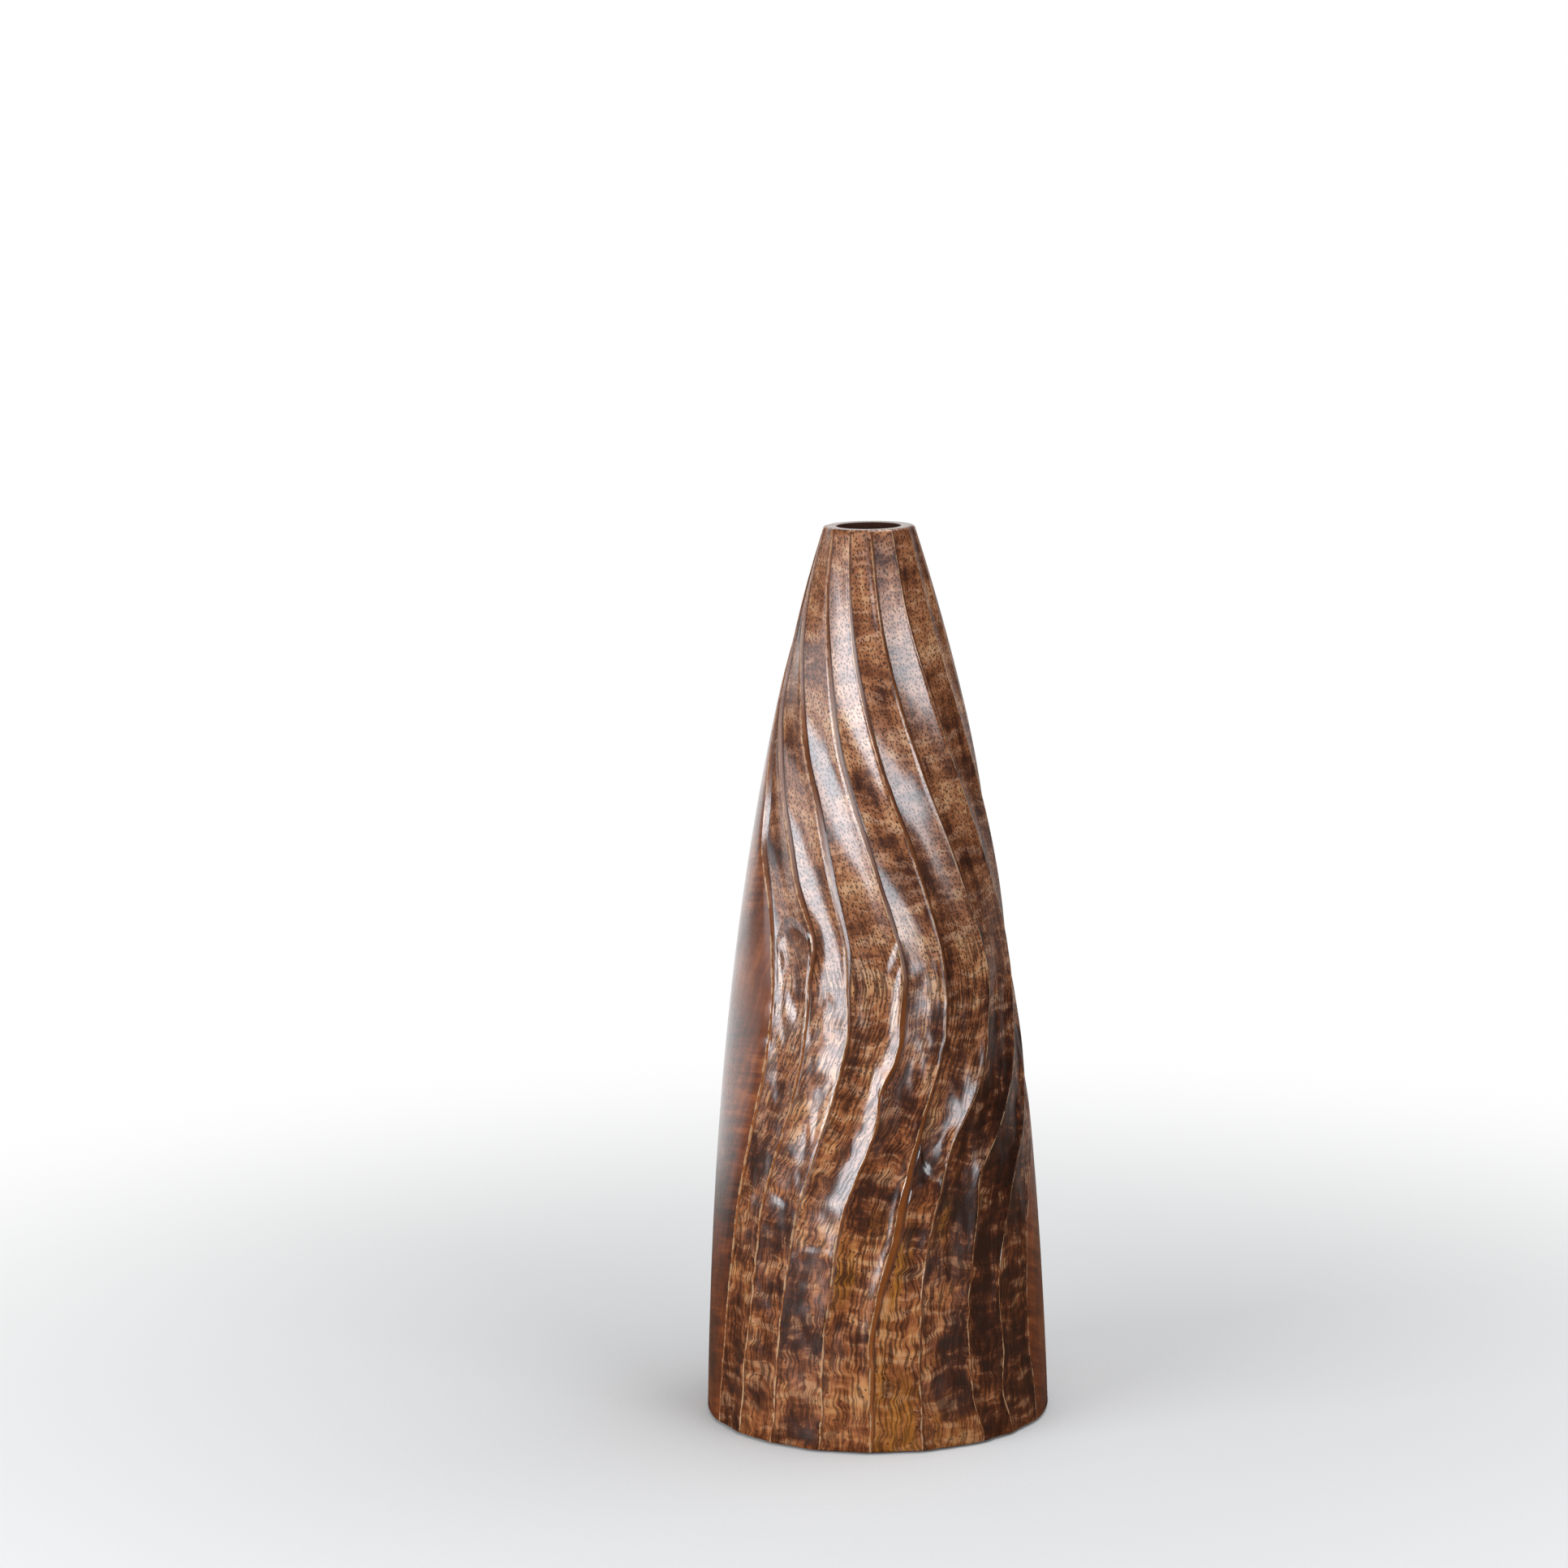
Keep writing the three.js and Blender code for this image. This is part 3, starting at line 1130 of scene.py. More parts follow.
class NodeBench:
    """A node tree and the short steps that lay and link nodes in it. Most of a noise lies in its span."""

    NOISE_SPAN: ClassVar[Range] = (0.3, 0.7)

    def __init__(self, tree: NodeTree) -> None:
        """Work on a tree."""
        self.tree = tree

    def node(self, kind: str, **settings: object) -> bpy.types.Node:
        """Lay a node.

        Args:
            kind: Type of the node.
            settings: Properties set on it.

        Returns:
            The new node.
        """
        node = self.tree.nodes.new(kind)
        for name, value in settings.items():
            setattr(node, name, value)
        return node

    def feed(self, socket: Socket, value: Feed) -> None:
        """Link a socket to another, or set its own value.

        Args:
            socket: The input.
            value: An output to link, or a plain value.
        """
        if isinstance(value, Socket):
            self.tree.links.new(value, socket)
        else:
            socket.default_value = value

    def wire(self, node: bpy.types.Node, **values: Feed) -> Outputs:
        """Feed a node's inputs.

        Args:
            node: The node.
            values: What its inputs take, by name with _ for a space.

        Returns:
            Its outputs.
        """
        for name, value in values.items():
            self.feed(node.inputs[name.replace("_", " ")], value)
        return node.outputs

    def place(self, group: NodeTree, **values: Feed) -> Outputs:
        """Place a node group, feed its inputs and give its outputs."""
        return self.wire(self.node("ShaderNodeGroup", node_tree=group), **values)

    def math(self, operation: str, *values: Feed) -> Socket:
        """Work out one step of arithmetic.

        Args:
            operation: Name of the step.
            values: What it takes.

        Returns:
            The result.
        """
        node = self.node("ShaderNodeMath", operation=operation)
        for socket, value in zip(node.inputs, values):
            self.feed(socket, value)
        return node.outputs[0]

    def times(self, first: Feed, second: Feed) -> Socket:
        """Multiply two values."""
        return self.math("MULTIPLY", first, second)

    def plus(self, first: Feed, second: Feed) -> Socket:
        """Add two values."""
        return self.math("ADD", first, second)

    def less(self, first: Feed, second: Feed) -> Socket:
        """Take the second value from the first."""
        return self.math("SUBTRACT", first, second)

    def larger(self, first: Feed, second: Feed) -> Socket:
        """Take the larger of two values."""
        return self.math("MAXIMUM", first, second)

    def about(self, noise: Feed, share: Feed) -> Socket:
        """Let a noise play about 0, by a share."""
        return self.times(self.less(noise, 0.5), share)

    def fit(self, value: Feed, low: float, high: float, start: float = 0.0, end: float = 1.0) -> Socket:
        """Ease a value from one range into another, held at the ends.

        Args:
            value: The value.
            low: Where the range starts.
            high: Where it ends.
            start: Result at low.
            end: Result at high.

        Returns:
            The eased value.
        """
        node = self.node("ShaderNodeMapRange", interpolation_type="SMOOTHSTEP")
        for socket, given in zip(node.inputs, (value, low, high, start, end)):
            self.feed(socket, given)
        return node.outputs[0]

    def play(self, noise: Feed, middle: float, share: float) -> Socket:
        """Let a value play about its middle with a noise."""
        return self.fit(noise, *self.NOISE_SPAN, middle - share, middle + share)

    def mix(self, share: Feed, first: Feed, second: Feed, how: Blend = Blend.MIX) -> Socket:
        """Mix two colours.

        Args:
            share: Share of the second.
            first: First colour.
            second: Second colour.
            how: Way of mixing.

        Returns:
            The mixed colour.
        """
        # The node has sockets for every type of data. Inputs 6 and 7 and output 2 are its colours.
        node = self.node("ShaderNodeMix", data_type="RGBA", blend_type=how.value)
        self.feed(node.inputs[0], share)
        self.feed(node.inputs[6], first)
        self.feed(node.inputs[7], second)
        return node.outputs[2]

    def ramp(self, value: Feed, places: tuple[float, ...], colours: tuple[Colour, ...]) -> Socket:
        """Colour a value by stops.

        Args:
            value: The value.
            places: Rising places of the stops.
            colours: Their colours.

        Returns:
            The colour.
        """
        node = self.node("ShaderNodeValToRGB")
        elements = node.color_ramp.elements
        while len(elements) < len(places):
            elements.new(0.5)
        for element, place, colour in zip(elements, places, colours):
            element.position = place
            element.color = colour
        self.feed(node.inputs[0], value)
        return node.outputs[0]

    def mapped(self, vector: Feed, **settings: Point) -> Socket:
        """Scale or turn a pattern's coordinates."""
        return self.wire(self.node("ShaderNodeMapping"), Vector=vector, **settings)[0]

    def cloud(self, vector: Feed, cloud: Cloud) -> Socket:
        """Lay cloudy noise.

        Args:
            vector: Coordinates.
            cloud: The noise.

        Returns:
            Values about 0.5.
        """
        scale = cloud.cells
        if isinstance(scale, tuple):
            vector = self.mapped(vector, Scale=scale)
            scale = 1.0
        noise = self.node("ShaderNodeTexNoise")
        return self.wire(noise, Vector=vector, Scale=scale, Detail=cloud.detail, Roughness=cloud.rough)[0]

    def kept(self, name: str) -> Socket:
        """Read a number kept on the mesh."""
        return self.node("ShaderNodeAttribute", attribute_name=name).outputs["Fac"]

    def split(self, vector: Feed) -> Outputs:
        """Split a vector into its three parts."""
        return self.wire(self.node("ShaderNodeSeparateXYZ"), Vector=vector)

    def joined(self, **parts: Feed) -> Socket:
        """Join parts X, Y and Z to a vector, 0 where one is left out."""
        return self.wire(self.node("ShaderNodeCombineXYZ"), **parts)[0]

    def raised(self, vector: Feed, rise: Feed) -> Socket:
        """Move coordinates up by a length.

        Args:
            vector: The coordinates.
            rise: The length.

        Returns:
            The moved coordinates.
        """
        node = self.node("ShaderNodeVectorMath", operation="ADD")
        self.feed(node.inputs[0], vector)
        self.feed(node.inputs[1], self.joined(Z=rise))
        return node.outputs[0]

    def length(self, vector: Feed) -> Socket:
        """Length of a vector."""
        return self.wire(self.node("ShaderNodeVectorMath", operation="LENGTH"), Vector=vector)["Value"]

    def bump(self, height: Feed, distance: float) -> Socket:
        """Turn a height into a normal, where a height of 1 is a distance high."""
        return self.wire(self.node("ShaderNodeBump"), Height=height, Distance=distance)[0]

    def shown_white(self, behind: Feed) -> tuple[Socket, Outputs]:
        """Tell which rays meet the white background.

        Args:
            behind: Share of it that a mirrored ray meets.

        Returns:
            Share of white for a ray, and what is known of the ray.
        """
        sight = self.node("ShaderNodeLightPath").outputs
        looked_at = self.larger(sight["Is Camera Ray"], sight["Is Transmission Ray"])
        return self.larger(looked_at, self.times(sight["Is Glossy Ray"], behind)), sight


class GroupBench(NodeBench):
    """A new shader node group with named inputs and outputs."""

    def __init__(self, name: str, inputs: dict[str, str], outputs: tuple[str, ...]) -> None:
        """Start a group.

        Args:
            name: Name of the group.
            inputs: Socket types by input name.
            outputs: Names of its outputs, which are values.
        """
        super().__init__(bpy.data.node_groups.new(name, "ShaderNodeTree"))
        for direction, sockets in (("INPUT", inputs), ("OUTPUT", dict.fromkeys(outputs, FLOAT))):
            for label, kind in sockets.items():
                self.tree.interface.new_socket(name=label, in_out=direction, socket_type=kind)
        self.given = self.node("NodeGroupInput").outputs
        self.result = self.node("NodeGroupOutput")


class FinishBench(NodeBench):
    """A new material with its one shader and the piece's own coordinates."""

    def __init__(self, name: str) -> None:
        """Start a material.

        Args:
            name: Name of the material.
        """
        self.material = bpy.data.materials.new(name)
        self.material.use_nodes = True
        super().__init__(self.material.node_tree)
        self.tree.nodes.clear()
        self.shader = self.node("ShaderNodeBsdfPrincipled")
        self.output = self.node("ShaderNodeOutputMaterial")
        self.wire(self.output, Surface=self.shader.outputs[0])
        self.position = self.node("ShaderNodeTexCoord").outputs["Object"]


@dataclass(frozen=True)
class WoodFibre:
    """Pores, grain lines and streaks of hardwood, drawn along Z on a flat sheet wrapped round the piece."""

    waves: Cloud = Cloud((45.0, 45.0, 130.0), 1.0)
    pore_cells: Point = (760.0, 520.0, 1.0)
    pore_edge: Rise = (0.2, 0.34, 1.0, 0.0)
    lines: Cloud = Cloud((1080.0, 80.0, 1.0), 1.0)
    line_edge: Range = (0.47, 0.57)
    line_relief: float = -0.5
    streaks: Cloud = Cloud((260.0, 22.0, 1.0), 3.0, 0.6)

    def group(self) -> NodeTree:
        """Build the group. Arc is the length round the piece, and Wave how far the grain swings sideways.

        Returns:
            The group.
        """
        inputs = {"Position": VECTOR, "Arc": FLOAT, "Wave": FLOAT, "Pore Share": FLOAT}
        bench = GroupBench("wood_fibre", inputs, ("Pores", "Lines", "Streaks", "Relief"))
        given = bench.given
        swing = bench.about(bench.cloud(given["Position"], self.waves), given["Wave"])
        sheet = bench.joined(X=bench.plus(given["Arc"], swing), Y=bench.split(given["Position"])[2])
        cells = bench.node("ShaderNodeTexVoronoi", voronoi_dimensions="2D", feature="F1")
        pore = bench.wire(cells, Vector=bench.mapped(sheet, Scale=self.pore_cells), Scale=1.0)
        shown = bench.math("LESS_THAN", bench.split(pore["Color"])[0], given["Pore Share"])
        pores = bench.times(bench.fit(pore["Distance"], *self.pore_edge), shown)
        lines = bench.fit(bench.cloud(sheet, self.lines), *self.line_edge)
        bench.wire(
            bench.result, Pores=pores, Lines=lines, Streaks=bench.cloud(sheet, self.streaks),
            Relief=bench.less(bench.times(lines, self.line_relief), pores),
        )
        return bench.tree


@dataclass(frozen=True)
class EdgeWear:
    """Worn, paler line along an edge, broken by noise."""

    breaks: Cloud = Cloud(190.0, 3.0, 0.65)
    width_share: Rise = (0.42, 0.62, 0.08, 1.3)
    fade: Rise = (0.35, 1.0, 1.0, 0.0)

    def group(self) -> NodeTree:
        """Build the group.

        Returns:
            The group.
        """
        bench = GroupBench("edge_wear", {"Position": VECTOR, "Distance": FLOAT, "Width": FLOAT}, ("Wear",))
        broken = bench.cloud(bench.given["Position"], self.breaks)
        width = bench.times(bench.given["Width"], bench.fit(broken, *self.width_share))
        share = bench.math("DIVIDE", bench.given["Distance"], width)
        bench.wire(bench.result, Wear=bench.fit(share, *self.fade))
        return bench.tree


@dataclass(frozen=True)
class WoodSpot:
    """What the lacquered finish knows of a spot on the body."""

    bench: FinishBench
    height: Socket
    across: Socket
    to_edge: Socket
    grain: Outputs
    wavy: Socket
    inside: Socket


@dataclass(frozen=True)
class LacqueredWood:
    """Brown-stained figured hardwood under clear lacquer, with plain steps, worn paler edges and some
    painted light.

    A rise has two heights, tones or places across a band, and the values of a part of the finish there.
    """

    dark: Colour = seen(42, 20, 10)
    brown: Colour = seen(84, 43, 23)
    middle: Colour = seen(132, 78, 46)
    tan: Colour = seen(172, 112, 73)
    pale: Colour = seen(208, 156, 111)
    fleck: Colour = seen(222, 198, 176)
    honey: Colour = seen(184, 126, 34)
    pore: Colour = seen(52, 27, 16)
    plain_pale: Colour = seen(158, 92, 50)
    plain: Colour = seen(120, 62, 31)
    plain_dark: Colour = seen(58, 27, 13)
    stain: Colour = (0.98, 0.83, 0.62, 1.0)
    step: Colour = seen(138, 78, 40)
    low_step: Colour = seen(176, 98, 38)
    # Painted reflection: the pale sheen laid on the steps of the sheen table.
    sheen: Colour = seen(184, 166, 160)
    # Pale worn crests, brightened further as painted highlight where the crests catch the light.
    edge: Colour = seen(230, 192, 148)
    # Painted reflection: pale grey laid on the top face of the rim.
    crown: Colour = seen(206, 182, 168)
    # Painted shade: near-black brown for the hollow, the bore and the underside of the wood.
    bore: Colour = seen(58, 30, 19)

    roughness: float = 0.36
    roughness_play: float = 0.05
    gloss_patches: Cloud = Cloud(70.0)
    specular: float = 0.15
    coat: float = 1.0
    coat_roughness: float = 0.2
    coat_ior: float = 1.85
    pore_roughness: float = 0.3
    bore_roughness: float = 0.3
    pore_dullness: float = 0.3
    line_dullness: float = 0.4
    back_dullness: float = 0.1
    relief: float = 0.05 * MM
    lumps: Cloud = Cloud(210.0)
    lump_relief: Rise = (0.2, 0.26, 2.2, 0.4)
    back_relief: float = 0.3

    wave: Rise = (0.08, 0.26, 6 * MM, 0.5 * MM)
    wavy_half: Rise = (0.2, 0.26, 1.0, 0.12)
    wavy_foot: Rise = (0.0, 0.05, 0.75, 1.0)
    lower_pores: Rise = (0.05, 0.14, 0.08, 0.3)
    upper_pores: Rise = (0.16, 0.25, 0.0, 0.6)
    inside: Rise = (0.0, 0.05, 1.0, 0.0)
    back: Range = (2.4, 2.6)

    band_jump: float = 17.3 * MM
    drift: float = 15 * MM
    drift_clouds: Cloud = Cloud((48.0, 48.0, 26.0))
    clouds: Cloud = Cloud((24.0, 24.0, 55.0), 5.0, 0.62)
    cloud_edge: Range = (0.36, 0.64)
    cloud_share: float = 0.2
    curl: Cloud = Cloud((65.0, 65.0, 230.0), 4.0, 0.6)
    curl_edge: Range = (0.34, 0.66)
    curl_share: Rise = (0.2, 0.26, 0.2, 0.14)
    mottle: Cloud = Cloud((190.0, 190.0, 75.0), 4.0, 0.65)
    mottle_share: Rise = (0.2, 0.3, 0.62, 0.45)
    streak_share: float = 0.55
    ground: Rise = (0.2, 0.3, 0.6, 0.62)
    figure_share: float = 0.34
    tone_stops: tuple[float, ...] = (0.24, 0.4, 0.54, 0.67, 0.82)
    fleck_curl: Range = (0.6, 1.0)
    fleck_share: Rise = (0.2, 0.26, 0.24, 0.14)
    fleck_tone: Range = (0.4, 0.55)
    honey_streaks: Rise = (0.42, 0.6, 0.15, 0.75)
    line_share: float = 0.75
    pore_share: float = 0.82

    back_clouds: Cloud = Cloud((22.0, 22.0, 34.0), 5.0, 0.6)
    ripple_slant: Point = (math.radians(18), math.radians(-14), 0.0)
    ripples: Cloud = Cloud((30.0, 30.0, 300.0), 3.0, 0.6)
    ripple_patches: Cloud = Cloud(24.0, 1.0)
    ripple_share: Rise = (0.45, 0.6, 0.15, 0.9)
    back_streaks: float = 0.6
    back_figure: float = 0.4
    back_stops: tuple[float, ...] = (0.3, 0.5, 0.8)

    stained: Rise = (0.1, 0.26, 1.0, 0.0)
    step_end: Rise = (0.98, 1.02, 1.0, 0.0)
    step_share: float = 0.85
    step_streaks: Rise = (0.4, 0.65, 0.1, 0.7)
    low_step_share: float = 0.8
    sheen_share: float = 0.65
    # Painted shade darkening each step face towards its foot.
    corner_start: Range = (0.5, 0.95)
    corner_end: Rise = (1.0, 1.05, 1.0, 0.0)
    corner_share: float = 0.7
    edge_width: float = 0.5 * MM
    edge_share: Rise = (0.24, 0.34, 0.6, 0.35)
    crown_share: Rise = (0.95, 0.6, 0.0, 0.6)
    crown_heights: Range = (0.39, 0.398)

    def make(self, fibre: NodeTree, wear: NodeTree) -> Material:
        """Mix the finish.

        Args:
            fibre: Group with the pores and grain.
            wear: Group with the worn edges.

        Returns:
            The material.
        """
        bench = FinishBench("lacquered_wood_finish")
        spot = self.read(bench, fibre)
        colour = bench.mix(bench.fit(spot.across, *self.back), self.figured(spot), self.smooth_back(spot))
        colour = self.cut_faces(spot, colour)
        bench.wire(
            bench.shader, Base_Color=self.worn_places(spot, colour, wear), Roughness=self.dullness(spot),
            Specular_IOR_Level=self.specular, Coat_Weight=self.lacquer(spot),
            Coat_Roughness=self.coat_roughness, Coat_IOR=self.coat_ior, Normal=self.unevenness(spot),
        )
        return bench.material

    def read(self, bench: FinishBench, fibre: NodeTree) -> WoodSpot:
        """Read where a spot lies and lay the grain there.

        Args:
            bench: The material's bench.
            fibre: Group with the pores and grain.

        Returns:
            The spot.
        """
        across, to_edge, _ = bench.split(bench.node("ShaderNodeUVMap", uv_map="carving").outputs[0])
        height = bench.split(bench.position)[2]
        pores = bench.plus(bench.fit(height, *self.lower_pores), bench.fit(height, *self.upper_pores))
        grain = bench.place(
            fibre, Position=bench.position, Arc=bench.kept("arc"), Wave=bench.fit(height, *self.wave),
            Pore_Share=pores,
        )
        wavy = bench.times(bench.fit(height, *self.wavy_half), bench.fit(height, *self.wavy_foot))
        inside = bench.fit(bench.kept("outside"), *self.inside)
        return WoodSpot(bench, height, across, to_edge, grain, wavy, inside)

    def figured(self, spot: WoodSpot) -> Socket:
        """Mix the colour of the carved bands: tan and brown ground, figure, flecks, grain lines and pores.

        Args:
            spot: The spot.

        Returns:
            The colour.
        """
        bench = spot.bench
        height = spot.height
        streaks = spot.grain["Streaks"]
        drift = bench.about(bench.cloud(bench.position, self.drift_clouds), self.drift)
        jump = bench.plus(bench.times(bench.kept("band"), self.band_jump), drift)
        banded = bench.raised(bench.position, jump)
        clouds = bench.fit(bench.cloud(banded, self.clouds), *self.cloud_edge)
        curl = bench.fit(bench.cloud(banded, self.curl), *self.curl_edge)
        mottle = bench.cloud(banded, self.mottle)
        shares = (
            (clouds, self.cloud_share), (curl, bench.fit(height, *self.curl_share)),
            (streaks, self.streak_share), (mottle, bench.fit(height, *self.mottle_share)),
        )
        # Dark patches are the figure; some pale ones are painted highlight.
        figure = bench.times(bench.kept("figure_and_painted_sheen"), self.figure_share)
        tone = bench.less(bench.fit(height, *self.ground), figure)
        for part, share in shares:
            tone = bench.plus(tone, bench.about(part, share))
        tones = (self.dark, self.brown, self.middle, self.tan, self.pale)
        colour = bench.ramp(tone, self.tone_stops, tones)
        flecks = bench.times(bench.fit(curl, *self.fleck_curl), bench.fit(height, *self.fleck_share))
        colour = bench.mix(bench.times(flecks, bench.fit(tone, *self.fleck_tone)), colour, self.fleck)
        golden = bench.times(bench.kept("honey"), bench.fit(streaks, *self.honey_streaks))
        colour = bench.mix(golden, colour, self.honey)
        lines = bench.times(spot.grain["Lines"], bench.times(spot.wavy, self.line_share))
        colour = bench.mix(lines, colour, self.pore)
        return bench.mix(bench.times(spot.grain["Pores"], self.pore_share), colour, self.pore)

    def smooth_back(self, spot: WoodSpot) -> Socket:
        """Mix the colour of the plain back: reddish brown with dark clouds and fine slanting ripples.

        Args:
            spot: The spot.

        Returns:
            The colour.
        """
        bench = spot.bench
        slanted = bench.mapped(bench.position, Rotation=self.ripple_slant)
        curled = bench.fit(bench.cloud(bench.position, self.ripple_patches), *self.ripple_share)
        figure = bench.times(bench.kept("figure_and_painted_sheen"), self.back_figure)
        score = bench.plus(figure, bench.cloud(bench.position, self.back_clouds))
        score = bench.plus(score, bench.about(bench.cloud(slanted, self.ripples), curled))
        score = bench.plus(score, bench.about(spot.grain["Streaks"], self.back_streaks))
        return bench.ramp(score, self.back_stops, (self.plain_pale, self.plain, self.plain_dark))

    def cut_faces(self, spot: WoodSpot, colour: Socket) -> Socket:
        """Stain the lower half, colour the steps with painted sheen on some, and paint shade at their foot.

        Args:
            spot: The spot.
            colour: Colour of the wood there.

        Returns:
            The colour.
        """
        bench = spot.bench
        stained = bench.fit(spot.height, *self.stained)
        colour = bench.mix(stained, colour, self.stain, how=Blend.MULTIPLY)
        face = bench.mix(bench.fit(spot.grain["Streaks"], *self.step_streaks), self.step, self.brown)
        face = bench.mix(bench.times(stained, self.low_step_share), face, self.low_step)
        # Painted sheen on the listed steps, standing in for the lacquer's reflection.
        face = bench.mix(bench.times(bench.kept("painted_sheen"), self.sheen_share), face, self.sheen)
        stepped = bench.times(bench.fit(spot.across, *self.step_end), self.step_share)
        colour = bench.mix(stepped, colour, face)
        # Painted shade: the half of each step face nearer its foot darkens towards the foot, in the pore
        # colour.
        corner = bench.fit(spot.across, *self.corner_start)
        corner = bench.times(corner, bench.fit(spot.across, *self.corner_end))
        return bench.mix(bench.times(corner, self.corner_share), colour, self.pore)

    def worn_places(self, spot: WoodSpot, colour: Socket, wear: NodeTree) -> Socket:
        """Lay pale worn crests with painted highlight, painted reflection on the rim top and painted shade
        in the bore.

        Args:
            spot: The spot.
            colour: Colour of the wood there.
            wear: Group with the worn edges.

        Returns:
            The colour.
        """
        bench = spot.bench
        worn = bench.place(wear, Position=bench.position, Distance=spot.to_edge, Width=self.edge_width)
        # Crest lines: real wear, and partly painted highlight, strongest in the lower half.
        pared_and_highlight = bench.times(worn["Wear"], bench.fit(spot.height, *self.edge_share))
        colour = bench.mix(pared_and_highlight, colour, self.edge)
        # Painted reflection of the bright surroundings on the top face of the rim.
        top = bench.fit(bench.kept("outside"), *self.crown_share)
        top = bench.times(top, bench.fit(spot.height, *self.crown_heights))
        colour = bench.mix(top, colour, self.crown)
        # Painted shade inside the hollow and under the foot.
        return bench.mix(spot.inside, colour, self.bore)

    def dullness(self, spot: WoodSpot) -> Socket:
        """Roughness of the wood: patchy, and duller in the pores and the bore.

        Args:
            spot: The spot.

        Returns:
            The roughness.
        """
        bench = spot.bench
        patchy = bench.cloud(bench.position, self.gloss_patches)
        rough = bench.play(patchy, self.roughness, self.roughness_play)
        rough = bench.plus(rough, bench.times(spot.grain["Pores"], self.pore_roughness))
        return bench.plus(rough, bench.times(spot.inside, self.bore_roughness))

    def lacquer(self, spot: WoodSpot) -> Socket:
        """Weight of the lacquer: thinner over pores and grain lines, none in the bore.

        Args:
            spot: The spot.

        Returns:
            The weight.
        """
        bench = spot.bench
        faint = bench.times(spot.grain["Lines"], bench.times(spot.wavy, self.line_dullness))
        dull = bench.larger(bench.times(spot.grain["Pores"], self.pore_dullness), faint)
        dull = bench.times(dull, bench.fit(spot.across, *self.back, 1.0, self.back_dullness))
        return bench.less(self.coat, bench.larger(dull, spot.inside))

    def unevenness(self, spot: WoodSpot) -> Socket:
        """Normal of the wood: grain and pores, with lumps in the lower half, and smoother on the back.

        Args:
            spot: The spot.

        Returns:
            The normal.
        """
        bench = spot.bench
        lumps = bench.cloud(bench.position, self.lumps)
        lumps = bench.times(lumps, bench.fit(spot.height, *self.lump_relief))
        relief = bench.plus(spot.grain["Relief"], lumps)
        relief = bench.times(relief, bench.fit(spot.across, *self.back, 1.0, self.back_relief))
        return bench.bump(relief, self.relief)


@dataclass(frozen=True)
class TurnedWood:
    """Plain turned hardwood of the base disc, thinly sealed."""

    brown: Colour = seen(150, 104, 66)
    pale: Colour = seen(182, 136, 92)
    dark: Colour = seen(112, 72, 42)
    roughness: float = 0.6
    roughness_play: float = 0.06
    grain_turn: Point = (math.radians(90), 0.0, math.radians(20))
    wave: float = 1.0 * MM
    pores: float = 0.6
    clouds: Cloud = Cloud((60.0, 60.0, 8.0), 3.0)
    cloud_edge: Range = (0.35, 0.65)
    line_share: float = 0.5
    pore_share: float = 0.8
    edge_width: float = 1.2 * MM
    edge_share: float = 0.5
    ring_pace: float = 9000.0
    ring_relief: float = 0.25
    relief: float = 0.08 * MM

    def make(self, fibre: NodeTree, wear: NodeTree, radius: float) -> Material:
        """Mix the finish, with the grain lying across the disc.

        Args:
            fibre: Group with the pores and grain.
            wear: Group with the worn edges.
            radius: Radius of the disc, for its worn edge.

        Returns:
            The material.
        """
        bench = FinishBench("turned_wood_finish")
        lying = bench.mapped(bench.position, Rotation=self.grain_turn)
        grain = bench.place(
            fibre, Position=lying, Arc=bench.split(lying)[0], Wave=self.wave, Pore_Share=self.pores
        )
        clouds = bench.cloud(lying, self.clouds)
        colour = bench.mix(bench.fit(clouds, *self.cloud_edge), self.brown, self.pale)
        colour = bench.mix(bench.times(grain["Lines"], self.line_share), colour, self.dark)
        colour = bench.mix(bench.times(grain["Pores"], self.pore_share), colour, self.dark)
        out = bench.length(bench.mapped(bench.position, Scale=(1.0, 1.0, 0.0)))
        edge = bench.less(radius, out)
        worn = bench.place(wear, Position=bench.position, Distance=edge, Width=self.edge_width)
        colour = bench.mix(bench.times(worn["Wear"], self.edge_share), colour, self.pale)
        rings = bench.times(bench.math("SINE", bench.times(out, self.ring_pace)), self.ring_relief)
        bench.wire(
            bench.shader, Base_Color=colour,
            Roughness=bench.play(clouds, self.roughness, self.roughness_play),
            Normal=bench.bump(bench.plus(grain["Relief"], rings), self.relief),
        )
        return bench.material


@dataclass(frozen=True)
class Felt:
    """Pressed wool felt: matted fibres with lighter strands on a dark ground."""

    ground: Colour = seen(52, 36, 27)
    strand: Colour = seen(88, 66, 50)
    roughness: float = 0.95
    sheen: float = 0.25
    mats: Cloud = Cloud(420.0, 4.0, 0.7)
    mat_share: Rise = (0.35, 0.7, 0.0, 0.35)
    strands: Cloud = Cloud((2600.0, 520.0, 900.0))
    strand_turn: float = 1.1
    strand_edge: Range = (0.55, 0.7)
    strand_share: float = 0.55
    strand_relief: float = 0.6
    relief: float = 0.3 * MM

    def make(self) -> Material:
        """Mix the finish.

        Returns:
            The material.
        """
        bench = FinishBench("pressed_felt")
        mats = bench.cloud(bench.position, self.mats)
        turn = bench.node("ShaderNodeVectorRotate", rotation_type="Z_AXIS")
        turned = bench.wire(turn, Vector=bench.position, Angle=self.strand_turn)[0]
        both = bench.larger(bench.cloud(bench.position, self.strands), bench.cloud(turned, self.strands))
        strands = bench.fit(both, *self.strand_edge)
        share = bench.plus(bench.times(strands, self.strand_share), bench.fit(mats, *self.mat_share))
        relief = bench.plus(mats, bench.times(strands, self.strand_relief))
        bench.wire(
            bench.shader, Base_Color=bench.mix(share, self.ground, self.strand), Roughness=self.roughness,
            Sheen_Weight=self.sheen, Normal=bench.bump(relief, self.relief),
        )
        return bench.material


